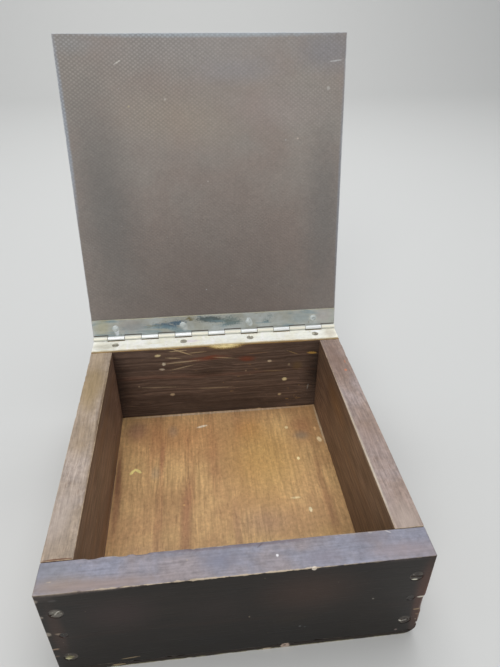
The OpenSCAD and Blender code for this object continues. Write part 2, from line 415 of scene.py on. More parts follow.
def upwardFace(tree):
    return band(tree, parts(tree, node(tree, "TexCoord").outputs["Normal"])[2], 0.6, 0.9)


print("shared effects ready")


# boards of the box

# an end board's marks are counted from the middle of its lower front edge, and on a side board the
# first number runs to the back
frontLook = {
    "dark": rgb(27, 22, 18), "light": rgb(33, 27, 22), "warm": rgb(44, 29, 22), "grain": 0.14,
    # top and topOther: the top face's colours, the wood's tone under a painted sheen, the bluish light from
    # above reflected
    "top": rgb(130, 130, 142), "topOther": rgb(137, 128, 130), "topStain": rgb(98, 86, 84),
    "topGrain": 0.55, "poreShare": 0.14, "bare": rgb(184, 168, 146), "along": 16.0, "across": 950.0,
    "scuffFrom": 0.92, "scuff": 0.3, "ragged": 0.9, "roughAlong": 70.0, "streaks": 0.14,
    "roughness": 0.5, "wearRagged": 1.7, "wearFade": (70 * mm, 20 * mm), "wearStart": (-90 * mm, -46 * mm),
    "markSize": 900.0,
    "gloss": 0.34, "topGloss": 0.5, "shine": 0.22, "wearWidth": 0.42 * mm, "wear": 0.85,
    "grainDepth": 0.05 * mm, "speckFrom": 0.86, "speck": 0.5,
    "marks": [
        (0, 0, 2, 170, 4, 38, 8, 7, 6, 0.42, 0.95),
        (33, 0, 46, 36, 3, 24, 55, 39, 31, 0.85, 0.95),
        (-58, 0, 44, 26, 3, 20, 50, 38, 36, 0.75, 0.95),
        (-12, 0, 40, 24, 3, 18, 38, 29, 25, 0.6, 0.95, 0, 8, 0),
        (26, 0, 24, 18, 3, 4, 40, 30, 20, 0.5, 0.9, 0, 3, 0),
        (91.5, 0, 30, 4.5, 3, 44, 74, 48, 38, 0.8, 0.7),
        (93.0, 0, 28, 1.6, 2, 30, 96, 62, 46, 0.6, 0.7),
        (-88, 0, 34, 5.0, 3, 30, 62, 44, 36, 0.6, 0.8),
        (29.5, 0, 16.0, 0.9, 1.5, 0.8, 92, 94, 94, 0.8, 0.6),
        (32.1, 0, 14.9, 0.7, 1.5, 0.6, 78, 80, 80, 0.8, 0.6),
        (65.8, 0, 34.2, 0.8, 1.5, 0.7, 120, 114, 106, 0.8, 0.5),
        (82.4, 0, 2.3, 1.0, 1.5, 1.0, 128, 112, 108, 0.8, 0.5),
        (-90, 0, 62, 7, 3, 3, 60, 52, 48, 0.6, 0.8),
        (-85.5, 0, 59.9, 2.6, 2, 1.2, 84, 80, 78, 0.5, 0.8),
        (-92.9, 0, 60.5, 1.6, 2, 1.6, 128, 118, 108, 0.7, 0.6),
        (-92.8, 0, 47.7, 1.4, 2, 1.2, 136, 126, 116, 0.7, 0.6),
        (-92.5, 0, 33.2, 1.9, 2, 2.2, 140, 130, 118, 0.8, 0.6, 0, 30, 0),
        (-87.4, 0, 32.4, 2.6, 1.5, 1.2, 132, 116, 100, 0.75, 0.6, 0, -14, 0),
        (-91.6, 0, 19.5, 2.4, 2, 0.9, 146, 122, 100, 0.75, 0.6, 0, 4, 0),
        (-92, 0, 13, 1.8, 2, 0.8, 110, 92, 80, 0.6, 0.6),
        (-82, 4, 65, 24, 8, 3, 142, 128, 118, 0.8, 0.95),
        (-60, 2, 65, 30, 3, 3, 136, 124, 124, 0.5, 0.9),
        (91.3, 0, 31.4, 2.6, 2, 0.8, 214, 206, 190, 0.95, 0.3),
        (90.9, 0, 20.3, 2.4, 2, 0.7, 150, 128, 96, 0.8, 0.4),
        (91.8, 0, 15.6, 1.2, 2, 0.7, 130, 104, 80, 0.7, 0.4),
        (-57.4, 0, 3.9, 5.5, 1.5, 0.5, 140, 122, 92, 0.8, 0.3, 0, 5, 0),
        (22.6, 0, -0.6, 2.6, 2, 1.6, 176, 156, 142, 0.9, 0.3, 0, 14, 0),
        (17.6, 8.5, 65, 0.8, 0.9, 1, 226, 224, 226, 0.9, 0.5),
        (89.5, 0, 40, 5, 2, 30, 72, 46, 36, 0.35, 0.9),
        (-62, 2.8, 65, 44, 5.0, 2, 144, 126, 118, 0.6, 0.9),
        (31.6, 0, 65.5, 4.6, 1.4, 0.9, 206, 192, 172, 0.95, 0.3),
        (33.8, 0, 64.4, 1.4, 1.4, 1.4, 212, 200, 184, 0.95, 0.3),
        (10.3, 14.9, 65, 0.5, 2.6, 1, 88, 76, 80, 0.7, 0.6, 0, 0, 53),
        (74, 15.7, 65, 2.2, 0.5, 1, 200, 194, 192, 0.65, 0.6, 0, 0, 32),
        (65, 16.1, 65, 1.4, 0.7, 1, 190, 184, 182, 0.5, 0.6, 0, 0, 20),
        # broad patches on the top face: they vary the wood's tone and its painted sheen
        (-86, 12, 65, 16, 8, 3, 122, 122, 124, 0.4, 0.95),
        (-10, 9, 65, 15, 8, 3, 112, 112, 126, 0.6, 0.95),
        (64, 13, 65, 17, 6, 3, 112, 106, 112, 0.6, 0.95),
        (40, 5, 65, 14, 7, 3, 128, 120, 128, 0.5, 0.95),
        (78, 5, 65, 26, 7, 3, 148, 134, 136, 0.6, 0.9),
        (0, 16, 65, 60, 2.2, 3, 96, 82, 86, 0.6, 0.7),
    ],
}
evenWear = {"wearRagged": 0.8, "wearFade": (9.0, 8.0), "wearStart": (-9.0, -8.0)}   # ends far off the box
backLook = dict(
    frontLook, dark=rgb(76, 61, 53), light=rgb(104, 86, 75), warm=rgb(112, 76, 62), grain=0.3, ragged=1.7,
    streaks=0.3, roughness=0.9, markSize=1300.0,
    # top colours: the wood's tone under a painted sheen
    top=rgb(196, 172, 120), topOther=rgb(150, 122, 78), bare=rgb(150, 118, 70), along=11.0, across=700.0,
    scuffFrom=0.82, scuff=0.5, gloss=0.62, roughAlong=150.0, shine=0.2, wearWidth=0.5 * mm, wear=0.6,
    grainDepth=0.3 * mm, speckFrom=0.84, speck=0.4,
    marks=[
        (0, 0, 4, 120, 4, 22, 46, 36, 30, 0.5, 0.9),
        (-80, 0, 34, 15, 3, 44, 38, 32, 31, 0.7, 0.95),
        (10, 0, 61, 70, 3, 8, 116, 94, 78, 0.45, 0.95),
        (-8, 0, 40, 24, 3, 5, 52, 41, 34, 0.6, 0.95),
        (80, 0, 34, 17, 3, 44, 26, 20, 17, 0.85, 0.95),
        (-8, 0, 54, 22, 2, 3.0, 122, 66, 48, 0.55, 0.8, 0, 4, 0),
        (22, 0, 52, 10, 2, 3, 112, 58, 40, 0.6, 0.8, 0, -3, 0),
        (-36, 0, 65.4, 16, 3, 1.6, 196, 172, 110, 0.8, 0.6),
        (6, 0, 65.2, 16, 3, 4.2, 214, 184, 108, 0.9, 0.6),
        (6, 0, 66.0, 13, 3, 4.0, 250, 236, 180, 0.95, 0.4),
        (50, 0, 66, 36, 2, 2.4, 120, 88, 44, 0.7, 0.6),
        (73, 0, 53.3, 4.6, 1.5, 1.3, 176, 140, 72, 0.85, 0.5, 0, -6, 0),
        (22, 0, 50.3, 8, 2, 2.4, 112, 58, 40, 0.6, 0.8, 0, -3, 0),
        (-6, 0, 55, 8, 2, 2.2, 122, 66, 48, 0.55, 0.8, 0, 16, 0),
        (-45.4, 0, 59, 3.0, 1.5, 1.5, 222, 206, 160, 0.9, 0.6, 0, 4, 0),
        (-41.4, 0, 50.9, 1.8, 1.5, 1.8, 210, 200, 178, 0.9, 0.6),
        (-43.2, 0, 46.1, 2.8, 1.5, 1.2, 190, 176, 156, 0.85, 0.6, 0, -5, 0),
        (-37, 0, 21, 2.4, 1.5, 1.7, 184, 164, 134, 0.8, 0.6),
        (52.2, 0, 29.1, 2.4, 1.5, 2.1, 224, 208, 160, 0.95, 0.6),
        (39.9, 0, 47.8, 2.2, 1.5, 1.4, 188, 170, 144, 0.85, 0.6),
        (48.7, 0, 14, 1.9, 1.5, 1.4, 184, 162, 128, 0.8, 0.6),
        (55.3, 0, 43.4, 1.2, 1.5, 1.6, 150, 132, 108, 0.7, 0.5),
        (21.3, 0, 39.9, 1.1, 1.5, 0.9, 150, 130, 106, 0.6, 0.5),
        (71.6, 0, 19.8, 0.6, 1.5, 3.4, 136, 132, 128, 0.7, 0.5, 0, -8, 0),
        (-62, 0, 31, 1.0, 1.5, 1.0, 150, 132, 110, 0.7, 0.5),
        (-56, 0, 60, 16, 2, 4.4, 98, 82, 74, 0.6, 0.95, 0, -4, 0),
        (-60, 0, 46, 14, 2, 2.6, 88, 72, 64, 0.6, 0.95, 0, 3, 0),
        (-27.5, 0, 61.3, 11, 1.5, 0.7, 186, 164, 126, 0.8, 0.6, 0, -25, 0),
        (-30, 0, 62.4, 9, 1.5, 0.5, 196, 176, 138, 0.8, 0.5, 0, 2, 0),
        (-16, 0, 60, 10, 1.5, 0.6, 176, 154, 118, 0.75, 0.7, 0, 3, 0),
        (-28, 0, 51.9, 19, 1.5, 0.8, 166, 148, 120, 0.85, 0.6, 0, 4.1, 0),
        (-27.5, 0, 46.8, 12, 1.5, 0.7, 158, 140, 114, 0.8, 0.6, 0, 12, 0),
        (-34, 0, 56, 8, 1.5, 0.6, 176, 158, 126, 0.75, 0.6, 0, -6, 0),
        (-3, 0, 25, 18, 1.5, 0.8, 146, 128, 104, 0.75, 0.6, 0, -1, 0),
        (-47, 0, 29, 20, 1.5, 0.8, 142, 126, 104, 0.7, 0.6, 0, -3, 0),
        (4, 0, 53.7, 11, 1.5, 0.7, 176, 152, 120, 0.75, 0.7, 0, -7, 0),
        (58, 0, 54.5, 6.5, 1.5, 0.5, 150, 124, 84, 0.7, 0.6, 0, -25, 0),
        (30, 0, 56, 12, 1.5, 0.6, 140, 110, 84, 0.6, 0.7, 0, 2, 0),
        (44, 0, 38, 12, 1.5, 0.8, 130, 110, 80, 0.6, 0.7, 0, -3, 0),
        (62, 0, 42, 6, 1.5, 6, 112, 90, 56, 0.5, 0.9),
    ], **evenWear)
sideLook = dict(
    frontLook, dark=rgb(102, 80, 66), light=rgb(136, 111, 90), warm=rgb(112, 78, 46), grain=0.3,
    streaks=0.3, roughness=0.9, markSize=600.0, ragged=0.8,
    # top colours: the wood's tone under a painted sheen
    top=rgb(146, 130, 114), topOther=rgb(158, 144, 134), topStain=rgb(104, 82, 66), topGrain=1.0,
    poreShare=0.35, scuffFrom=0.86, scuff=0.3, bare=rgb(206, 186, 156), along=34.0, across=760.0,
    gloss=0.5, topGloss=0.55,
    shine=0.25, wearWidth=0.34 * mm, wear=0.6, grainDepth=0.12 * mm, speckFrom=0.86, speck=0.4, **evenWear)
leftLook = dict(sideLook, dark=rgb(114, 92, 80), light=rgb(148, 122, 103), marks=[
    (46, 6, 65, 46, 14, 4, 152, 130, 94, 0.75, 0.9),
    (0, 6, 65, 30, 12, 4, 144, 124, 98, 0.5, 0.9),
    (84, 5, 65, 24, 9, 4, 178, 158, 134, 0.75, 0.9),
    (20, 15.0, 65, 60, 2.0, 4, 96, 74, 52, 0.75, 0.8),
    (-40, 15.4, 65, 40, 1.6, 4, 120, 96, 74, 0.5, 0.8),
    (-85.4, 8, 65, 1.0, 9, 3, 96, 60, 36, 0.85, 0.4),
    (-60, 5, 65, 26, 9, 4, 164, 152, 144, 0.5, 0.9),
])
# top colours: the wood's tone under a painted sheen
rightLook = dict(sideLook, top=rgb(140, 122, 112), topOther=rgb(148, 134, 130), marks=[
    (60, 6, 65, 40, 12, 4, 126, 102, 90, 0.6, 0.9),
    (46, 10, 65, 1.6, 1.2, 2, 196, 120, 84, 0.8, 0.6),
    (56, 12, 65, 2.6, 0.7, 2, 186, 124, 92, 0.6, 0.6),
    (-30, 0.6, 65, 70, 1.1, 3, 206, 196, 178, 0.5, 0.7),
    (30, 1.0, 50, 40, 3, 16, 132, 94, 50, 0.5, 0.9),
    (-18, 7, 65, 36, 14, 4, 124, 102, 88, 0.5, 0.95),
    (-82, 8, 65, 20, 12, 4, 164, 149, 139, 0.7, 0.9),
])


def boardMaterial(name, look):
    material, tree, shader = newMaterial(name)
    place = attribute(tree, "place")["Vector"]
    rim = attribute(tree, "rim")["Fac"]
    wood = useGroup(tree, grain, Place=place, Along=look["along"], Across=look["across"])
    dirt = useGroup(tree, grime, Place=place, SpeckFrom=look["speckFrom"])
    upward = upwardFace(tree)
    mottle = noise(tree, place, 330.0, 3.0, 0.65)
    streak = band(tree, wood["Streak"], 0.35, 0.68)
    stained = mix(tree, streak, look["dark"], look["light"])
    stained = shade(tree, stained, swing(tree, wood["Figure"], look["grain"] * 2))
    warm = times(tree, band(tree, wood["Figure"], 0.54, 0.70), 0.45)
    stained = mix(tree, warm, stained, look["warm"])
    stained = shade(tree, stained, swing(tree, dirt["Blotch"], 0.7))
    # the top faces' own colour: the wood's tone with grain, mottle and pores, under a painted sheen, the pale
    # bluish light from above reflected in it
    rubbed = mix(tree, band(tree, dirt["Blotch"], 0.38, 0.62), look["top"], look["topOther"])
    rubbed = shade(tree, rubbed, swing(tree, wood["Streak"], look["topGrain"]))
    rubbed = shade(tree, rubbed, swing(tree, mottle, 0.9))
    rubbed = mix(tree, times(tree, wood["Pores"], look["poreShare"]), rubbed, look["topStain"])
    colour = mix(tree, upward, stained, rubbed)
    colour = addMarks(tree, place, colour, look["marks"], look["markSize"], look["ragged"])
    colour = shade(tree, colour, swing(tree, wood["Streak"], look["streaks"]))
    rough = noise(tree, stretch(tree, place, (look["roughAlong"], 620.0, 620.0)), 1.0, 4.0, 0.7)
    rough = scaled(tree, noise(tree, place, 26.0, 2.0), 0.35, rough)
    scuff = band(tree, rough, look["scuffFrom"], look["scuffFrom"] + 0.08)
    colour = mix(tree, times(tree, scuff, look["scuff"]), colour, look["bare"])
    colour = shade(tree, colour, swing(tree, rough, look["roughness"]))
    colour = shade(tree, colour, 0.9)
    wearAndHighlight = useGroup(tree, edgeWear, Rim=rim, Place=place, Width=look["wearWidth"],
                    Ragged=look["wearRagged"])["Mask"]
    across, _, up = parts(tree, place)
    wearAndHighlight = times(tree, wearAndHighlight, scaled(tree, band(tree, up, 20 * mm, 50 * mm), 0.7, 0.3))
    fade = times(tree, band(tree, across, *look["wearFade"]), band(tree, across, *look["wearStart"]))
    wearAndHighlight = times(tree, wearAndHighlight, scaled(tree, fade, 0.75, 0.25))
    colour = mix(tree, times(tree, wearAndHighlight, look["wear"]), colour, look["bare"])
    colour = mix(tree, times(tree, dirt["Speck"], look["speck"]), colour, look["bare"])
    uneven = scaled(tree, dirt["Blotch"], 0.3, look["gloss"] - 0.15)
    onTop = scaled(tree, streak, 0.12, look["topGloss"] - 0.06)
    roughness = plus(tree, times(tree, uneven, minus(tree, 1.0, upward)), times(tree, onTop, upward))
    roughness = plus(tree, roughness, times(tree, wearAndHighlight, 0.2))
    height = scaled(tree, mottle, 0.5, wood["Height"])
    finishShader(tree, shader, colour, roughness, bump(tree, height, 0.7, look["grainDepth"]),
                 {"Specular IOR Level": look["shine"]})
    return material


boardWear = {"coarse": 1.6 * mm, "fine": 0.22 * mm, "rim": 1.0 * mm, "radius": 0.7 * mm,
             "chip": 0.8 * mm, "chipSize": 3.2 * mm, "chipFrom": 0.46, "dip": 0.12 * mm, "seed": 3}
cornerHead, cornerShank = 3.53 * mm, 1.80 * mm   # the corner screws' holes, a hair over the screws
nailHead, nailDeep = 1.95 * mm, 1.35 * mm
leafHead = 2.80 * mm


def faceCentre(nodeName, towards):
    # middle of a fastener's head, on the side of the box that its head faces
    low, high = (np.array(corner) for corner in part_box(nodeName))
    centre = (low + high) / 2
    axis = int(np.argmax(np.abs(towards)))
    centre[axis] = high[axis] if towards[axis] > 0 else low[axis]
    return centre


cornerNames = ["left_upper", "left_lower", "right_upper", "right_lower"]


def wornCorner(points, flat, reach=8 * mm, fade=26 * mm):
    # the box's lower right front corner is rubbed round, less and less towards the back
    corner = np.array([cadHigh[0], cadLow[2]])
    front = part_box("front_board")[0][1]
    radius = reach * (1 - smoothStep(0, fade, flat[:, 1] - front))
    radius = np.maximum(radius, 1e-6)
    gap = np.stack([corner[0] - points[:, 0], points[:, 2] - corner[1]], -1)
    inside = np.all(gap < radius[:, None], axis=1)
    toCore = radius[:, None] - gap
    length = np.maximum(np.linalg.norm(toCore, axis=1), 1e-9)     # never nought, as it divides
    outside = inside & (length > radius)
    settled = radius[:, None] - toCore * (radius / length)[:, None]
    points[:, 0] = np.where(outside, corner[0] - settled[:, 0], points[:, 0])
    points[:, 2] = np.where(outside, corner[1] + settled[:, 1], points[:, 2])


def endBoard(name, nodeName, side, material, seed):
    # a board across the front (side -1) or the back (side 1)
    low, high = (np.array(corner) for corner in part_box(nodeName))
    end = "front" if side < 0 else "back"
    screws = [faceCentre(f"{end}_screw_{corner}", (0, side, 0)) for corner in cornerNames]
    nails = [faceCentre(f"{end}_nail_{hand}", (0, side, 0)) for hand in ("left", "right")]
    spotsX = [(sideOf * abs(screws[0][0]), 4.2 * mm) for sideOf in (-1, 1)]
    spotsZ = [(screws[0][2], 4 * mm), (screws[1][2], 4 * mm), (nails[0][2], 2.2 * mm)]
    wear = dict(boardWear, seed=seed)
    if side < 0:
        wear.update(chip=1.3 * mm, chipFrom=0.42)
    points, quads, rim, flat = wornSlab(low, high, wear, (spotsX, (), spotsZ))
    for centre in screws:
        centre[1] = low[1] if side < 0 else high[1]
        sink(points, flat, centre, 1, cornerHead, cornerHead - cornerShank, 1.0)
    for centre in nails:
        centre[1] = low[1] if side < 0 else high[1]
        sink(points, flat, centre, 1, nailHead, nailDeep, 8.0)
    if side < 0:
        wornCorner(points, flat)
    makePiece(name, points, quads, "box", [nodeName], material,
              {"rim": rim, "place": points - np.array([0, low[1], low[2]])})


def sideBoard(name, nodeName, material, seed):
    # a board between the two end boards, its grain from front to back
    low, high = (np.array(corner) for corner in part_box(nodeName))
    points, quads, rim, _ = wornSlab(low, high, dict(boardWear, seed=seed))
    place = (points - np.array([low[0], 0, low[2]]))[:, [1, 0, 2]]
    makePiece(name, points, quads, "box", [nodeName], material,
              {"rim": rim, "place": place})


endMaterial = boardMaterial("darkVarnish", frontLook)
backMaterial = boardMaterial("darkRoughBoard", backLook)
leftMaterial = boardMaterial("brownStainLeft", leftLook)
rightMaterial = boardMaterial("brownStainRight", rightLook)
endBoard("frontBoard", "front_board", -1, endMaterial, 11)
endBoard("backBoard", "back_board", 1, backMaterial, 23)
sideBoard("leftSideBoard", "left_side_board", leftMaterial, 37)
sideBoard("rightSideBoard", "right_side_board", rightMaterial, 41)
print("four boards made")


# base panel

floorLook = {
    "pale": rgb(200, 162, 112), "mid": rgb(182, 142, 98), "dark": rgb(120, 82, 56),
    "red": rgb(146, 96, 70), "rim": rgb(40, 33, 28), "edge": rgb(136, 130, 100), "along": 42.0,
    "across": 560.0,
    "marks": [
        (70, -66, 3, 16, 12, 3, 136, 100, 86, 0.6, 0.8),
        (0, -44, 3, 24, 42, 3, 152, 114, 78, 0.6, 0.95),
        (-25, 22, 3, 18, 26, 3, 152, 118, 98, 0.5, 0.95),
        (6, -75, 3, 44, 4, 3, 124, 76, 56, 0.6, 0.8),
        (58, -30, 3, 34, 60, 3, 180, 128, 84, 0.5, 0.9),
        (64, 22, 3, 22, 16, 3, 188, 132, 78, 0.45, 0.9),
        (39, -45.5, 3, 26, 3.2, 3, 150, 98, 72, 0.6, 0.9, 0, 0, -3),
        (4, -26, 3, 34, 5.0, 3, 152, 106, 76, 0.5, 0.95, 0, 0, -7),
        (28, -76.5, 3, 32, 2.6, 3, 120, 74, 56, 0.6, 0.8),
        (-26, -29, 3, 62, 6, 3, 146, 98, 72, 0.6, 0.9, 0, 0, -1),
        (-40, 4, 3, 46, 4, 3, 160, 118, 92, 0.45, 0.9),
        (30, 30, 3, 60, 40, 3, 196, 156, 90, 0.55, 0.9),
        (-60, 62, 3, 40, 20, 3, 196, 158, 92, 0.5, 0.9),
        (-60, -55, 3, 34, 30, 3, 184, 146, 116, 0.6, 0.9),
        (62, 62, 3, 24, 15, 3, 160, 112, 80, 0.55, 0.95),
        (51.4, 61, 3, 7, 9, 3, 132, 120, 104, 0.6, 0.9),
        (66, -38, 3, 10, 6, 3, 146, 124, 104, 0.5, 0.9),
        (24, -50, 3, 9, 5, 3, 150, 132, 112, 0.45, 0.9),
        (-62, 20, 3, 20, 30, 3, 160, 134, 112, 0.4, 0.9),
        (84.9, 0, 3, 1.7, 92, 3, 196, 182, 164, 0.75, 0.6),
        (62, 77.5, 3, 32, 1.0, 3, 196, 182, 156, 0.65, 0.6),
        # a paler band along the foot of the back wall: painted light, lifting the shade the walls cast there
        (80, 10, 3, 14, 90, 3, 196, 152, 108, 0.4, 0.9),
        (69.4, -15.1, 3, 1.3, 5.4, 1, 228, 212, 188, 0.95, 0.5, 0, 0, 14),
        (27.1, -66.3, 3, 3.9, 1.4, 1, 236, 216, 140, 1.0, 0.4, 0, 0, -37),
        (27.7, -62.4, 3, 3.8, 1.4, 1, 236, 216, 140, 1.0, 0.4, 0, 0, 48),
        (61.2, 50.8, 3, 1.9, 1.6, 1, 236, 214, 164, 0.95, 0.5),
        (45.6, 73.9, 3, 3.6, 2.2, 1, 240, 216, 170, 0.95, 0.5, 0, 0, 12),
        (57.8, 73.1, 3, 2.6, 1.3, 1, 226, 184, 132, 0.9, 0.5),
        (27.7, 54.2, 3, 1.9, 1.3, 1, 242, 222, 168, 1.0, 0.4),
        (-7.8, 45.7, 3, 1.0, 4.2, 1, 224, 202, 154, 0.9, 0.5),
        (-18.5, 53.7, 3, 2.5, 1.4, 1, 240, 222, 178, 0.95, 0.4),
        (-6, -30, 3, 1.0, 1.0, 1, 206, 160, 104, 0.7, 0.4),
    ],
    "edgeMarks": [
        (-102.5, 12.7, 0.6, 2, 2.6, 0.9, 184, 168, 144, 0.9, 0.3),
        (-102.5, 22.5, 1.7, 3, 2.8, 2.3, 176, 156, 142, 0.9, 0.3),
        (-102.5, 22.2, 2.2, 3, 1.1, 0.8, 70, 54, 48, 0.8, 0.5),
        (-102.5, -64, 1.6, 2, 4.0, 0.8, 150, 132, 100, 0.8, 0.3),
    ],
}


def floorMaterial(look):
    material, tree, shader = newMaterial("stainedPly")
    place = attribute(tree, "place")["Vector"]
    wood = useGroup(tree, grain, Place=place, Along=look["along"], Across=look["across"], Wander=0.3)
    dirt = useGroup(tree, grime, Place=place, BlotchSize=16.0, SpeckFrom=0.90)
    colour = mix(tree, band(tree, dirt["Blotch"], 0.38, 0.62), look["mid"], look["pale"])
    colour = mix(tree, times(tree, band(tree, wood["Figure"], 0.54, 0.70), 0.35), colour, look["red"])
    colour = addMarks(tree, place, colour, look["marks"], 700.0)
    uneven = times(tree, wood["Figure"], scaled(tree, dirt["Blotch"], 3.0, -0.6))
    colour = shade(tree, colour, swing(tree, mix(tree, uneven, (0.5, 0.5, 0.5, 1.0), wood["Streak"]), 2.2))
    colour = shade(tree, colour, swing(tree, noise(tree, place, 380.0, 3.0, 0.65), 0.8))
    colour = mix(tree, times(tree, wood["Pores"], 0.28), colour, look["dark"])
    inside = band(tree, attribute(tree, "rim")["Fac"], 4 * mm, 6 * mm)
    upward = times(tree, upwardFace(tree), inside)
    frayed = noise(tree, place, 240.0, 4.0, 0.65)
    lowest = scaled(tree, frayed, 1.6 * mm, 0.1 * mm)
    ply = times(tree, minus(tree, lowest, parts(tree, place)[2]), 4000.0, clamp=True)
    broken = band(tree, noise(tree, place, 70.0, 4.0, 0.65), 0.42, 0.50)
    edge = mix(tree, times(tree, ply, broken), look["rim"], look["edge"])
    edge = addMarks(tree, place, edge, look["edgeMarks"])
    colour = mix(tree, upward, edge, colour)
    roughness = scaled(tree, dirt["Blotch"], 0.3, 0.36)
    finishShader(tree, shader, colour, roughness, bump(tree, wood["Height"], 0.6, 0.12 * mm),
                 {"Specular IOR Level": 0.25})
    return material


baseWear = dict(boardWear, coarse=2.2 * mm, fine=0.22 * mm, rim=0.7 * mm, radius=0.16 * mm,
                chip=0.6 * mm, chipFrom=0.48, dip=0.06 * mm, seed=53)
pinHead, pinDeep = 1.43 * mm, 1.1 * mm


def basePanel():
    # thin ply under all four boards, with a dish below each of its twelve pins
    low, high = (np.array(corner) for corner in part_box("base_panel"))
    frontBack = [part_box("front_board"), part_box("back_board")]
    sideBoxes = [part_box("left_side_board"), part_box("right_side_board")]
    rows = [(a[1] + b[1]) / 2 for a, b in frontBack]
    columns = [(a[0] + b[0]) / 2 for a, b in sideBoxes]
    across, along = [-60 * mm, 0.0, 60 * mm], [-52.5 * mm, 0.0, 52.5 * mm]
    spotsX = [(x, 1.6 * mm) for x in across + columns]
    spotsY = [(y, 1.6 * mm) for y in along + rows]
    points, quads, rim, flat = wornSlab(low, high, baseWear, (spotsX, spotsY, ()))
    places = [(x, y) for x in across for y in rows] + [(x, y) for x in columns for y in along]
    for x, y in places:
        sink(points, flat, np.array([x, y, low[2]]), 2, pinHead, pinDeep, 6.0)
    wornCorner(points, flat)
    points[:, 2] = np.maximum(points[:, 2], low[2])
    makePiece("basePanel", points, quads, "box", ["base_panel"],
              floorMaterial(floorLook), {"rim": rim, "place": points[:, [1, 0, 2]]})


basePanel()
print("base panel made")


# lid

lidPlan = {"open": math.radians(100.5), "inner": 2.1 * mm, "thick": 3 * mm, "tail": 1.6 * mm,
           "reach": 204.2 * mm}
lidLook = {
    "grey": rgb(147, 141, 134), "brown": rgb(142, 130, 122), "dark": rgb(84, 74, 70),
    # rim: the pale blue-grey of the specks and of the painted highlight along the edges
    "rim": rgb(196, 200, 204), "wires": (1.65 * mm, 1.19 * mm), "imprint": 0.36,
    "marks": [
        # the first mark darkens the lid more and more towards the hinge: painted shade
        (0, 10, 2, 210, 170, 3, 108, 99, 94, 0.85, 0.95),
        (-72, 100, 2, 32, 110, 3, 106, 104, 101, 0.75, 0.95, 0, 0, -5),
        (82, 84, 2, 22, 100, 3, 110, 107, 104, 0.7, 0.95),
        # a paler band along the top of the lid: painted light
        (0, 198, 2, 110, 26, 3, 148, 145, 143, 0.6, 0.9),
        (82, 194, 2, 30, 20, 3, 130, 130, 136, 0.6, 0.9),
        (20, 182, 2, 44, 12, 3, 140, 142, 150, 0.3, 0.95),
        (-20, 154, 2, 60, 24, 3, 158, 145, 128, 0.4, 0.95, 0, 0, 8),
        (50, 160, 2, 50, 20, 3, 154, 142, 138, 0.4, 0.95),
        (-55.5, 187.7, 2, 3.6, 0.6, 1, 206, 202, 194, 0.75, 0.6, 0, 0, -28),
        (-26.7, 165.9, 2, 1.1, 1.1, 1, 196, 190, 180, 0.7, 0.6),
        (-50.6, 161.9, 2, 0.9, 0.9, 1, 190, 178, 146, 0.6, 0.6),
        (82.3, 171.2, 2, 1.6, 1.8, 1, 190, 188, 182, 0.6, 0.7),
        (86.5, 187.6, 2, 5.4, 0.6, 1, 196, 196, 196, 0.6, 0.5, 0, 0, -7),
        (-1.1, 113.2, 2, 0.8, 0.7, 1, 186, 180, 172, 0.45, 0.6),
        (62, 140, 2, 0.9, 0.7, 1, 206, 190, 176, 0.6, 0.5),
        # this line along the top edge and the two along the side edges below: painted highlights
        (0, 204, 2, 110, 3.4, 3, 164, 174, 182, 0.8, 0.7),
        (-84, 199, 2, 26, 10, 3, 144, 148, 150, 0.45, 0.95),
        (-93, 150, 2, 2.8, 80, 3, 154, 162, 172, 0.8, 0.7),
        (93, 110, 2, 2.0, 110, 3, 138, 144, 154, 0.55, 0.8),
    ],
}


def openLid(points):
    # from the flat lid (x, distance from the pin, height over the pin) to where the open lid is
    along, out = points[:, 1], points[:, 2]
    cosine, sine = math.cos(lidPlan["open"]), math.sin(lidPlan["open"])
    y = pinPlace[1] - along * cosine + out * sine
    z = pinPlace[2] + along * sine + out * cosine
    return np.stack([points[:, 0], y, z], -1)


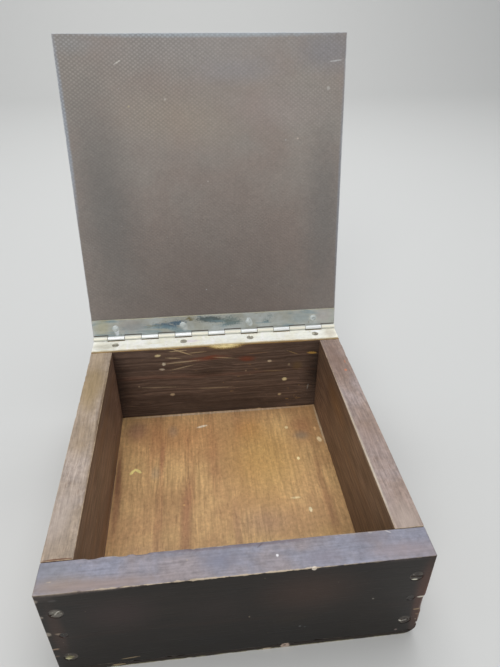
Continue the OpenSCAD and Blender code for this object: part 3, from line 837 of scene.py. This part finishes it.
def lidMaterial(look):
    material, tree, shader = newMaterial("hardboard")
    place = attribute(tree, "place")["Vector"]
    rim = attribute(tree, "rim")["Fac"]
    x, y, z = parts(tree, place)
    dirt = useGroup(tree, grime, Place=place, BlotchSize=20.0, SpeckFrom=0.90)
    fibres = noise(tree, place, 700.0, 3.0, 0.7)
    colour = mix(tree, band(tree, dirt["Blotch"], 0.3, 0.7), look["brown"], look["grey"])
    colour = addMarks(tree, place, colour, look["marks"], 300.0)
    colour = shade(tree, colour, swing(tree, noise(tree, place, 70.0, 4.0, 0.6), 0.2))
    colour = shade(tree, colour, swing(tree, fibres, 0.5))
    waves = [calc(tree, "SINE", times(tree, value, math.pi / pitch))
             for value, pitch in zip((x, y), look["wires"])]
    weave = times(tree, *waves)
    lines = minus(tree, 1.0, calc(tree, "ABSOLUTE", weave))
    weave = scaled(tree, lines, 0.8, times(tree, weave, 0.8))
    inner = band(tree, z, lidPlan["inner"] + 0.6 * mm, lidPlan["inner"] + 0.2 * mm)
    weave = times(tree, weave, inner)
    clear = scaled(tree, band(tree, y, 90 * mm, 195 * mm), 0.78, 0.22)
    clear = times(tree, clear, scaled(tree, dirt["Blotch"], 1.2, 0.3))
    leftward = scaled(tree, band(tree, x, 40 * mm, -50 * mm), 0.5, 0.5)
    clear = times(tree, clear, leftward)
    pits = times(tree, band(tree, weave, 0.2, 0.9), times(tree, clear, look["imprint"]))
    colour = mix(tree, pits, colour, look["dark"])
    colour = mix(tree, times(tree, dirt["Speck"], 0.5), colour, look["rim"])
    # along the lid's edges a pale blue-grey line: a painted highlight where light catches them
    wearAndHighlight = useGroup(tree, edgeWear, Rim=rim, Place=place, Width=0.55 * mm, Ragged=0.5)["Mask"]
    colour = mix(tree, times(tree, wearAndHighlight, 0.5), colour, look["rim"])
    roughness = scaled(tree, dirt["Blotch"], 0.25, 0.42)
    height = scaled(tree, weave, -0.8, fibres)
    finishShader(tree, shader, colour, roughness, bump(tree, height, 0.5, 0.12 * mm),
                 {"Specular IOR Level": 0.45})
    return material


lidWear = {"coarse": 1.5 * mm, "fine": 0.25 * mm, "rim": 0.6 * mm, "radius": 0.35 * mm,
           "chip": 0.9 * mm, "chipSize": 4 * mm, "chipFrom": 0.45, "dip": 0.08 * mm, "seed": 61}


def lidPanel():
    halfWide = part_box("lid_panel")[1][0]
    low = np.array([-halfWide, -lidPlan["tail"], lidPlan["inner"]])
    high = np.array([halfWide, lidPlan["reach"], lidPlan["inner"] + lidPlan["thick"]])
    points, quads, rim, _ = wornSlab(low, high, lidWear)
    makePiece("lidPanel", openLid(points), quads, "lid", ["lid_panel"],
              lidMaterial(lidLook), {"rim": rim, "place": points})


lidPanel()
print("lid made")


# hinge leaves

hingePlan = {
    "half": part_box("hinge_box_leaf")[1][0], "pitch": 12.7 * mm, "gap": 0.3 * mm, "sheet": 0.9 * mm,
    "far": 2.1 * mm, "reach": 14.6 * mm, "notch": 2.25 * mm, "tuck": 0.5 * mm, "holeReach": 7.4 * mm,
    "curlOuter": 1.84 * mm, "curlInner": 1.07 * mm, "curlTurn": math.radians(296), "lift": 0.14 * mm,
}
holePlaces = np.array([-6, -2, 2, 6]) * hingePlan["pitch"]
lidKnuckles = np.arange(-3, 4) * 2 * hingePlan["pitch"]
boxKnuckles = np.arange(-2.5, 3) * 2 * hingePlan["pitch"]


def curlSheet(points):
    # flat sheet (x, distance from the pin, depth from the outer face) rolled round the pin:
    # level while the distance is positive, an arc of the curl's radius where it is negative
    plan = hingePlan
    x, reach, depth = points.T
    share = smoothStep(3.4 * mm, 0.6 * mm, reach)
    level = plan["far"] - depth
    rolled = plan["curlOuter"] - depth * (plan["curlOuter"] - plan["curlInner"]) / plan["sheet"]
    radius = level * (1 - share) + rolled * share
    angle = np.maximum(-reach, 0) / ((plan["curlOuter"] + plan["curlInner"]) / 2)
    along = radius * np.sin(angle) - np.maximum(reach, 0)
    return np.stack([x, along, -radius * np.cos(angle)], -1)


def onBox(points):
    return points + np.array([0, pinPlace[1], pinPlace[2]])


def onLid(points):
    return openLid(points * np.array([1, -1, -1]))


sheetWear = {"coarse": 1.4 * mm, "fine": 0.11 * mm, "rim": 0.25 * mm, "radius": 0.14 * mm,
             "chip": 0.0, "chipSize": 3 * mm, "chipFrom": 0.5, "dip": 0.03 * mm, "seed": 71}


def hingeLeaf(name, nodeName, body, knuckles, place, seed, material, heads):
    # a plate with a tongue curled round the pin for each knuckle
    plan = hingePlan
    wear = dict(sheetWear, seed=seed)
    spotsX = [(x, 2.9 * mm) for x in holePlaces] if heads else ()
    spotsY = [(plan["holeReach"], 2.9 * mm)] if heads else ()
    points, quads, rim, flat = wornSlab((-plan["half"], plan["notch"], 0),
                                        (plan["half"], plan["reach"], plan["sheet"]),
                                        wear, (spotsX, spotsY, ()))
    if heads:
        for x in holePlaces:
            centre = np.array([x, plan["holeReach"], plan["sheet"]])
            sink(points, flat, centre, 2, leafHead, 0.8 * mm, 1.0)
    wave = softNoise(np.stack([flat[:, 0], flat[:, 0] * 0, flat[:, 0] * 0], -1), 27 * mm, seed + 5)
    freeEdge = smoothStep(plan["holeReach"], plan["reach"], flat[:, 1])
    points[:, 2] += plan["lift"] * wave * freeEdge
    points[:, 1] -= 0.25 * mm * wave * freeEdge
    shells = [(points, quads, rim, flat)]
    length = plan["pitch"] - plan["gap"]
    spans = [(x - length / 2, x + length / 2) for x in knuckles]
    if nodeName == "hinge_box_leaf":
        inner = 6.5 * plan["pitch"] + plan["gap"] / 2
        spans += [(-plan["half"], -inner), (inner, plan["half"])]
    curlLength = plan["curlTurn"] * (plan["curlOuter"] + plan["curlInner"]) / 2
    tongueWear = dict(wear, coarse=0.42 * mm)
    for low, high in spans:
        ends = (low, -curlLength, 0), (high, plan["notch"] + plan["tuck"], plan["sheet"])
        shells.append(wornSlab(*ends, tongueWear))
    starts = np.cumsum([0] + [len(shell[0]) for shell in shells])
    points = np.concatenate([shell[0] for shell in shells])
    quads = np.concatenate([shell[1] + start for shell, start in zip(shells, starts)])
    rim = np.concatenate([shell[2] for shell in shells])
    makePiece(name, place(curlSheet(points)), quads, body, [nodeName], material,
              {"rim": rim, "place": points})


boxLeafLook = {
    "metal": rgb(252, 252, 246), "dull": rgb(242, 238, 220), "stain": rgb(216, 206, 168),
    "blue": rgb(226, 232, 228), "smear": rgb(254, 250, 250), "barrel": rgb(226, 222, 206),
    "smearFrom": 0.52, "blueFrom": 0.60, "stainFrom": 0.62, "roughness": 0.45, "metallic": 0.1,
    "edge": rgb(206, 188, 140), "edgeShare": 0.5, "tarnish": [],
    # the next two: the band round the pin where a knuckle keeps its colour, a painted highlight, and the
    # painted shade over the rest of its curl
    "rubbed": ((-7.0 * mm, -6.5 * mm), (-4.9 * mm, -5.4 * mm)), "unrubbed": rgb(192, 196, 188),
    "marks": [
        (-84, 9, 1, 14, 7, 3, 204, 200, 184, 0.8, 0.8),
        (0, 14.2, 1, 80, 1.0, 3, 214, 192, 132, 0.45, 0.6),
        (-20, 8, 1, 10, 2.6, 3, 238, 226, 232, 0.7, 0.7),
        (88, 8, 1, 7, 8, 3, 196, 186, 170, 0.6, 0.7),
        (78, 4, 1, 5, 2, 3, 250, 250, 248, 0.8, 0.6),
    ],
}
lidLeafLook = dict(
    boxLeafLook, metal=rgb(192, 199, 198), dull=rgb(172, 173, 162), blue=rgb(132, 158, 168),
    stain=rgb(132, 124, 92), smear=rgb(214, 218, 216), barrel=rgb(232, 234, 234), smearFrom=0.62,
    blueFrom=0.52, stainFrom=0.62, roughness=0.36, metallic=0.3, edge=rgb(190, 182, 148), edgeShare=0.6,
    # the next two: the band round the pin where a knuckle keeps its colour, a painted highlight, and the
    # painted shade over the rest of its curl
    rubbed=((-6.6 * mm, -6.0 * mm), (-3.9 * mm, -4.3 * mm)), unrubbed=rgb(132, 132, 122),
    tarnish=[
        (-34, 10, 1, 24, 8, 4, 88, 112, 130),
        (-4, 11, 1, 26, 6, 4, 98, 108, 106),
        (-20, 12.5, 1, 9, 4, 4, 122, 112, 70),
        (40, 10, 1, 14, 7, 4, 84, 112, 118),
        (12, 9, 1, 18, 8, 4, 122, 136, 132),
    ],
    marks=[
        (-86, 9, 1, 9, 9, 3, 178, 176, 152, 0.8, 0.8),
        (-64, 9, 1, 16, 9, 3, 170, 166, 162, 0.7, 0.8),
        (84, 9, 1, 10, 9, 3, 184, 180, 176, 0.8, 0.8),
        (66, 8, 1, 12, 6, 3, 156, 170, 172, 0.6, 0.8),
        (-75.5, 5.5, 1, 2.4, 5.4, 3, 222, 228, 232, 0.9, 0.5),
        (-24, 5.8, 1, 3.0, 4.0, 3, 206, 212, 212, 0.7, 0.6, 0, 0, 12),
        (26, 7.0, 1, 2.6, 5.0, 3, 216, 224, 226, 0.85, 0.5, 0, 0, -10),
        (76, 7.4, 1, 3.6, 3.8, 3, 202, 204, 194, 0.7, 0.4),
    ])


def sheetMaterial(name, look):
    material, tree, shader = newMaterial(name)
    place = attribute(tree, "place")["Vector"]
    rim = attribute(tree, "rim")["Fac"]
    reach = parts(tree, place)[1]
    dirt = useGroup(tree, grime, Place=place, BlotchSize=60.0, SpeckFrom=0.80)
    drawn = stretch(tree, place, (30.0, 130.0, 130.0))
    broad = noise(tree, drawn, 1.0, 4.0, 0.6, 0.5)
    narrow = noise(tree, stretch(tree, place, (60.0, 700.0, 700.0)), 1.0, 2.0, 0.5)
    upright = noise(tree, stretch(tree, place, (240.0, 40.0, 40.0)), 1.0, 3.0, 0.6)
    colour = mix(tree, band(tree, dirt["Blotch"], 0.3, 0.7), look["metal"], look["dull"])
    for cloud in look["tarnish"]:     # centre and radii (mm), then a display colour
        near = useGroup(tree, patch, Place=place, Centre=[v * mm for v in cloud[:3]], Soft=1.0,
                        Radii=[v * mm for v in cloud[3:6]])["Mask"]
        tint = band(tree, scaled(tree, near, 0.3, broad), 0.62, 0.80)
        colour = mix(tree, tint, colour, rgb(*cloud[6:9]))
    blue = band(tree, broad, look["blueFrom"], look["blueFrom"] + 0.10)
    colour = mix(tree, times(tree, blue, 0.6), colour, look["blue"])
    stain = band(tree, noise(tree, drawn, 1.7, 3.0, 0.6), look["stainFrom"], look["stainFrom"] + 0.1)
    colour = mix(tree, times(tree, stain, 0.6), colour, look["stain"])
    smear = band(tree, upright, look["smearFrom"], look["smearFrom"] + 0.14)
    colour = mix(tree, times(tree, smear, 0.5), colour, look["smear"])
    colour = addMarks(tree, place, colour, look["marks"], 420.0, 1.4)
    colour = shade(tree, colour, swing(tree, narrow, 0.2))
    colour = shade(tree, colour, swing(tree, noise(tree, place, 300.0, 3.0, 0.6), 0.3))
    wearAndHighlight = useGroup(tree, edgeWear, Rim=rim, Place=place, Width=0.4 * mm)["Mask"]
    wearAndHighlight = times(tree, wearAndHighlight, band(tree, reach, 11 * mm, 13.5 * mm))
    colour = mix(tree, times(tree, wearAndHighlight, look["edgeShare"]), colour, look["edge"])
    colour = mix(tree, times(tree, dirt["Speck"], 0.5), colour, look["stain"])
    # the knuckle colour: on the lid leaf paler than its plate, shown only in the band kept below, a painted
    # highlight
    barrel = band(tree, reach, 2.0 * mm, 1.0 * mm)
    colour = mix(tree, times(tree, barrel, 0.9), colour, look["barrel"])
    # a knuckle keeps its bright colour only in a band round the pin, between two distances along the sheet: a
    # painted highlight; the rest of its curl takes a painted shade
    rubbed = times(tree, *(band(tree, reach, *ends) for ends in look["rubbed"]))
    dull = times(tree, band(tree, reach, -2.0 * mm, -2.6 * mm), minus(tree, 1.0, rubbed))
    colour = mix(tree, times(tree, dull, 0.8), colour, look["unrubbed"])
    roughness = scaled(tree, dirt["Blotch"], 0.3, look["roughness"] - 0.15)
    roughness = scaled(tree, smear, 0.15, roughness)
    height = scaled(tree, dirt["Scratch"], -0.5, narrow)
    finishShader(tree, shader, colour, roughness, bump(tree, height, 0.35, 0.03 * mm),
                 {"Metallic": look["metallic"]})
    return material


boxLeafMaterial = sheetMaterial("yellowedPlate", boxLeafLook)
lidLeafMaterial = sheetMaterial("stainedPlate", lidLeafLook)
hingeLeaf("boxLeaf", "hinge_box_leaf", "box", boxKnuckles, onBox, 71, boxLeafMaterial, True)
hingeLeaf("lidLeaf", "hinge_lid_leaf", "lid", lidKnuckles, onLid, 83, lidLeafMaterial, False)
print("hinge leaves made")


# screws and rivets

def turnedShape(radii, heights, sides):
    # an outline of radius and height from pole to pole, carried round an axis along Z
    angle = np.arange(sides) * 2 * math.pi / sides
    ring = np.stack([np.cos(angle), np.sin(angle)], -1)
    rows = radii[1:-1, None, None] * ring[None]
    body = np.concatenate([rows, np.broadcast_to(heights[1:-1, None, None], rows.shape[:2] + (1,))], -1)
    poles = np.array([[0, 0, heights[0]], [0, 0, heights[-1]]])
    points = np.concatenate([body.reshape(-1, 3), poles])
    number = len(radii) - 2
    index = np.arange(number * sides).reshape(number, sides)
    after = np.roll(index, -1, axis=1)
    quads = np.stack([index[:-1], after[:-1], after[1:], index[1:]], -1).reshape(-1, 4)
    top = np.full(sides, number * sides)
    first = np.stack([after[0], index[0], top, top], -1)
    last = np.stack([index[-1], after[-1], top + 1, top + 1], -1)
    return points, np.concatenate([quads, first, last])


def screwShape(plan, seed):
    # slotted countersunk screw, point down, the slot along X, its thread a true helix
    head, shank, length = plan["head"], plan["shank"], plan["length"]
    neck = head - shank
    across = np.linspace(0, 1, 22) ** 0.85
    faceR = across * (head - 0.12 * mm)
    faceZ = -plan["sunk"] - 0.10 * mm * across ** 4
    rimR = np.array([head - 0.03 * mm, head, head - 0.10 * mm])
    rimZ = np.array([-0.20, -0.30, -0.42]) * mm - plan["sunk"]
    stem = np.linspace(0, 1, 90)
    stemR = np.where(stem < 0.92, shank, shank * np.maximum(1 - (stem - 0.92) / 0.08, 0.06))
    stemZ = -neck - 0.1 * mm - plan["sunk"] - stem * (length - neck - 0.4 * mm)
    radii = np.concatenate([faceR, rimR, stemR, [0]])
    heights = np.concatenate([faceZ, rimZ, stemZ, [-length]])
    points, quads = turnedShape(radii, heights, 72)
    away = np.hypot(points[:, 0], points[:, 1])
    angle = np.arctan2(points[:, 1], points[:, 0])
    onHead = points[:, 2] > -plan["sunk"] - 0.13 * mm
    halfSlot, soft = plan["slotWide"] / 2, 0.07 * mm
    slot = smoothStep(halfSlot + soft, halfSlot - soft, np.abs(points[:, 1]))
    dent = softNoise(points + seed * mm, 1.3 * mm, seed)
    points[:, 2] -= np.where(onHead, slot * plan["slotDeep"] + 0.10 * mm * dent, 0)
    threaded = points[:, 2] < -length * 0.4
    turn = (points[:, 2] / plan["pitch"] + angle / (2 * math.pi)) % 1
    groove = 1 - plan["thread"] * np.abs(2 * turn - 1) * threaded
    points[:, :2] *= np.where(away > 0.3 * mm, groove, 1)[:, None]
    return points, quads


def turnAbout(points, angle):
    cosine, sine = math.cos(angle), math.sin(angle)
    x, y, z = points.T
    return np.stack([cosine * x - sine * y, sine * x + cosine * y, z], -1)


# a head's marks are from its middle, and each further screw of a row counts another 10 mm on every axis
screwLook = {"metal": rgb(128, 120, 106), "dark": rgb(64, 50, 42), "rust": rgb(92, 64, 44),
             "bright": rgb(224, 220, 206), "roughness": 0.36, "metallic": 0.6, "coated": 0.48, "marks": []}
leafScrewLook = dict(
    screwLook, metal=rgb(176, 172, 156), dark=rgb(104, 98, 84), rust=rgb(136, 122, 92), metallic=0.3,
    coated=0.56, marks=[
        (10, 10, 9.8, 3.1, 3.1, 1.2, 168, 160, 148, 0.5, 0.6),
        (20, 20, 19.8, 3.1, 3.1, 1.2, 178, 172, 158, 0.55, 0.6),
    ])
rivetLook = dict(screwLook, metal=rgb(196, 204, 204), dark=rgb(164, 172, 172), rust=rgb(180, 176, 156),
                 bright=rgb(240, 240, 238), roughness=0.5, metallic=0.2, coated=0.62)


def headMaterial(name, look, placeName="place"):
    # old fastener metal: dull, blotched with dark coating and rust, with bright scratches; its look's marks
    # add tones, and on the corner screws painted highlights
    material, tree, shader = newMaterial(name)
    if placeName:
        place = attribute(tree, placeName)["Vector"]
    else:
        place = node(tree, "TexCoord").outputs["Object"]
    dirt = useGroup(tree, grime, Place=place, BlotchSize=420.0, SpeckFrom=0.66)
    colour = mix(tree, band(tree, dirt["Blotch"], look["coated"] + 0.12, look["coated"] - 0.12),
                 look["dark"], look["metal"])
    rough = noise(tree, place, 1500.0, 3.0, 0.6)
    colour = mix(tree, times(tree, band(tree, rough, 0.5, 0.7), 0.6), colour, look["rust"])
    colour = mix(tree, times(tree, dirt["Scratch"], 0.8), colour, look["bright"])
    colour = addMarks(tree, place, colour, look["marks"])
    roughness = scaled(tree, rough, 0.35, look["roughness"] - 0.15)
    finishShader(tree, shader, colour, roughness, bump(tree, rough, 0.4, 0.05 * mm),
                 {"Metallic": look["metallic"]})
    return material


cornerLook = dict(
    screwLook, metal=rgb(74, 66, 58), dark=rgb(42, 34, 29), rust=rgb(58, 43, 34), metallic=0.2, marks=[
        (0, 0, -0.3, 3.6, 3.6, 1.4, 120, 116, 106, 0.6, 0.5),
        # a painted highlight on the first head's slot
        (0.6, 0.2, -0.4, 2.4, 0.6, 1.2, 226, 222, 210, 0.95, 0.5, 0, 0, -20),
        (9.3, 9.6, 9.8, 2.9, 2.6, 1.5, 132, 126, 82, 0.6, 0.8),
        # painted highlights on the slots of the second, third and fourth heads
        (8.6, 8.6, 9.6, 2.2, 0.8, 1.2, 200, 196, 150, 0.85, 0.6, 0, 0, 12),
        (19.0, 17.3, 19.6, 2.5, 0.9, 1.4, 208, 204, 186, 0.95, 0.5, 0, 0, -6),
        (30.0, 29.5, 29.9, 2.9, 0.15, 0.35, 228, 224, 212, 0.95, 0.6),
    ])
screwMaterial = headMaterial("brownedScrew", cornerLook)
leafScrewMaterial = headMaterial("tarnishedScrew", leafScrewLook)
rivetMaterial = headMaterial("dullRivet", rivetLook)
cornerScrew = {"head": 3.5 * mm, "shank": 1.72 * mm, "length": 32 * mm, "pitch": 1.6 * mm, "thread": 0.2,
               "slotWide": 0.95 * mm, "slotDeep": 0.8 * mm, "sunk": 0.15 * mm}
leafScrew = dict(cornerScrew, head=2.75 * mm, shank=1.28 * mm, length=12 * mm, slotWide=0.8 * mm,
                 slotDeep=0.6 * mm, sunk=0.05 * mm)
slotTurns = {"front": [25, 5, -4, 2], "back": [60, -20, 85, 40], "leaf": [35, 10, 70, -15]}

for end, side in (("front", -1), ("back", 1)):
    for i, corner in enumerate(cornerNames):
        centre = faceCentre(f"{end}_screw_{corner}", (0, side, 0))
        points, quads = screwShape(cornerScrew, i + 5)
        local = turnAbout(points, math.radians(slotTurns[end][i]))
        placed = np.stack([local[:, 0], side * local[:, 2], local[:, 1]], -1) + centre
        makePiece(f"{end}Screw.{corner}", placed, quads, "box",
                  [f"{end}_screw_{corner}"], screwMaterial, {"place": points + i * 10 * mm})

for i in range(4):
    centre = faceCentre(f"box_leaf_screw_{i + 1}", (0, 0, 1))
    points, quads = screwShape(leafScrew, i + 15)
    makePiece(f"leafScrew.{i + 1}", turnAbout(points, math.radians(slotTurns["leaf"][i])) + centre, quads,
              "box", [f"box_leaf_screw_{i + 1}"], leafScrewMaterial,
              {"place": points + i * 10 * mm})

rivetPlan = {"head": 2.5 * mm, "headHigh": 0.8 * mm, "shank": 1.2 * mm, "tailHigh": 0.5 * mm,
             "near": 1.2 * mm, "grip": 3.9 * mm, "hollow": 0.95 * mm}


def rivetShape(plan, hollow, seed):
    # dome, shank and second dome; a hollow one has a pit in the middle of its first head
    t = np.linspace(0, 1, 18)
    domeR = plan["head"] * np.sin(t * math.pi / 2)
    domeZ = plan["headHigh"] * np.cos(t * math.pi / 2) ** 1.2
    if hollow:
        pit = smoothStep(plan["hollow"] + 0.15 * mm, plan["hollow"] - 0.15 * mm, domeR)
        domeZ = domeZ - 0.75 * mm * pit
    shankR = np.full(3, plan["shank"])
    shankZ = -np.array([0.05 * mm, plan["grip"] / 2, plan["grip"] - 0.05 * mm])
    tail = np.linspace(0, 1, 9)
    tailR = plan["head"] * np.cos(tail * math.pi / 2)
    tailZ = -plan["grip"] - plan["tailHigh"] * np.sin(tail * math.pi / 2)
    tailR[-1] = 0
    radii = np.concatenate([domeR, shankR, tailR])
    heights = np.concatenate([domeZ, shankZ, tailZ])
    points, quads = turnedShape(radii, heights, 56)
    points[:, 2] -= 0.12 * mm * softNoise(points + seed * mm, 1.6 * mm, seed) * (points[:, 2] > 0.1 * mm)
    return points, quads


for i in range(4):
    points, quads = rivetShape(rivetPlan, i == 3, i + 31)
    flat = np.stack([points[:, 0] + holePlaces[i], points[:, 1] + hingePlan["holeReach"],
                     rivetPlan["near"] - points[:, 2]], -1)
    makePiece(f"rivet.{i + 1}", openLid(flat), quads, "lid", [f"lid_leaf_rivet_{i + 1}"],
              rivetMaterial, {"place": points + i * 10 * mm})

pinLook = dict(screwLook, metal=rgb(170, 166, 156), dark=rgb(110, 104, 96))
plainMetal = {
    "hinge_pin": headMaterial("pinWire", pinLook, ""),
    "base_nails": headMaterial("panelPins", dict(screwLook, metal=rgb(110, 102, 94)), ""),
}
nailLook = dict(screwLook, metal=rgb(50, 42, 36), dark=rgb(32, 27, 24), rust=rgb(48, 36, 28), metallic=0.2)
nailMaterial = headMaterial("rustedNails", nailLook, "")
for name, cadNode in frame["nodes"].items():
    if name in plainMetal or "_nail_" in name:
        cadNode.data.materials.clear()
        cadNode.data.materials.append(plainMetal.get(name, nailMaterial))
print("fasteners made")


# stage, lights and camera

stagePlan = {"half": 2.6, "back": 1.6, "rise": 1.8, "bend": 0.9, "colour": rgb(196, 196, 194),
             "roughness": 0.9, "shine": 0.1}
lightPlans = {
    "overheadLight": {"place": (0.1, 0.3, 1.25), "aim": (0, 0, 0.05), "size": 1.1, "power": 9,
                      "colour": (0.95, 0.97, 1.0)},
    "frontLight": {"place": (-0.3, -1.1, 1.0), "aim": (0, 0, 0.1), "size": 0.9, "power": 10,
                   "colour": (1.0, 0.98, 0.95)},
    "backdropLight": {"place": (0, 1.0, 1.9), "aim": (0, 2.5, 0.7), "size": 1.2, "power": 24,
                      "colour": (1.0, 1.0, 1.0)},
}
skyPlan = {"colour": (0.93, 0.96, 1.0, 1.0), "strength": 0.46}


def stage(plan):
    # a pale sheet that runs flat under the box and bends up behind it
    t = np.linspace(0, 1, 60)
    angle = t * math.pi / 2
    farthest = plan["back"] + plan["bend"]
    y = np.concatenate([[-plan["half"]], plan["back"] + plan["bend"] * np.sin(angle), [farthest]])
    z = np.concatenate([[0], plan["bend"] * (1 - np.cos(angle)), [plan["rise"] + plan["bend"]]])
    x = np.array([-plan["half"], plan["half"]])
    points = np.stack([np.tile(x, len(y)), np.repeat(y, 2), np.repeat(z, 2)], -1)
    first = np.arange(len(y) - 1) * 2
    faces = np.stack([first, first + 1, first + 3, first + 2], -1)
    mesh = bpy.data.meshes.new("stage")
    mesh.from_pydata(points.tolist(), [], faces.tolist())
    mesh.polygons.foreach_set("use_smooth", np.ones(len(faces), bool))
    material, _, shader = newMaterial("paleSheet")
    shader.inputs["Base Color"].default_value = plan["colour"]
    shader.inputs["Roughness"].default_value = plan["roughness"]
    shader.inputs["Specular IOR Level"].default_value = plan["shine"]
    mesh.materials.append(material)
    floor = bpy.data.objects.new("stage", mesh)
    bpy.context.scene.collection.objects.link(floor)


def softLight(name, plan):
    light = bpy.data.lights.new(name, "AREA")
    light.shape = "DISK"
    light.size = plan["size"]
    light.energy = plan["power"]
    light.color = plan["colour"]
    lamp = bpy.data.objects.new(name, light)
    lamp.location = plan["place"]
    towards = Vector(np.array(plan["aim"]) - np.array(plan["place"]))
    lamp.rotation_euler = towards.to_track_quat("-Z", "Y").to_euler()
    bpy.context.scene.collection.objects.link(lamp)


cameraPlan = {"place": (-12.885 * mm, -246.392 * mm, 292.994 * mm), "pitch": -0.5732, "roll": -0.0032,
              "yaw": -0.1120, "focal": 531.75, "frame": 667, "sensor": 36.0}


def setCamera(plan):
    data = bpy.data.cameras.new("camera")
    data.sensor_width = plan["sensor"]
    data.lens = plan["focal"] / plan["frame"] * plan["sensor"]
    data.clip_start = 0.01
    camera = bpy.data.objects.new("camera", data)
    level = Matrix.Rotation(math.pi / 2, 4, "X")     # a Blender camera looks down until it is stood up
    turn = Matrix.Rotation(plan["yaw"], 4, "Z") @ Matrix.Rotation(plan["pitch"], 4, "X")
    turn = turn @ Matrix.Rotation(plan["roll"], 4, "Y")
    camera.matrix_world = Matrix.Translation(plan["place"]) @ turn @ level
    bpy.context.scene.collection.objects.link(camera)
    bpy.context.scene.camera = camera


world = bpy.data.worlds.new("studio")
bpy.context.scene.world = world
world.use_nodes = True
sky = world.node_tree.nodes["Background"].inputs
sky["Color"].default_value = skyPlan["colour"]
sky["Strength"].default_value = skyPlan["strength"]
stage(stagePlan)
for name, plan in lightPlans.items():
    softLight(name, plan)
setCamera(cameraPlan)
bpy.context.scene.view_settings.view_transform = "Standard"
print("stage, lights and camera set")
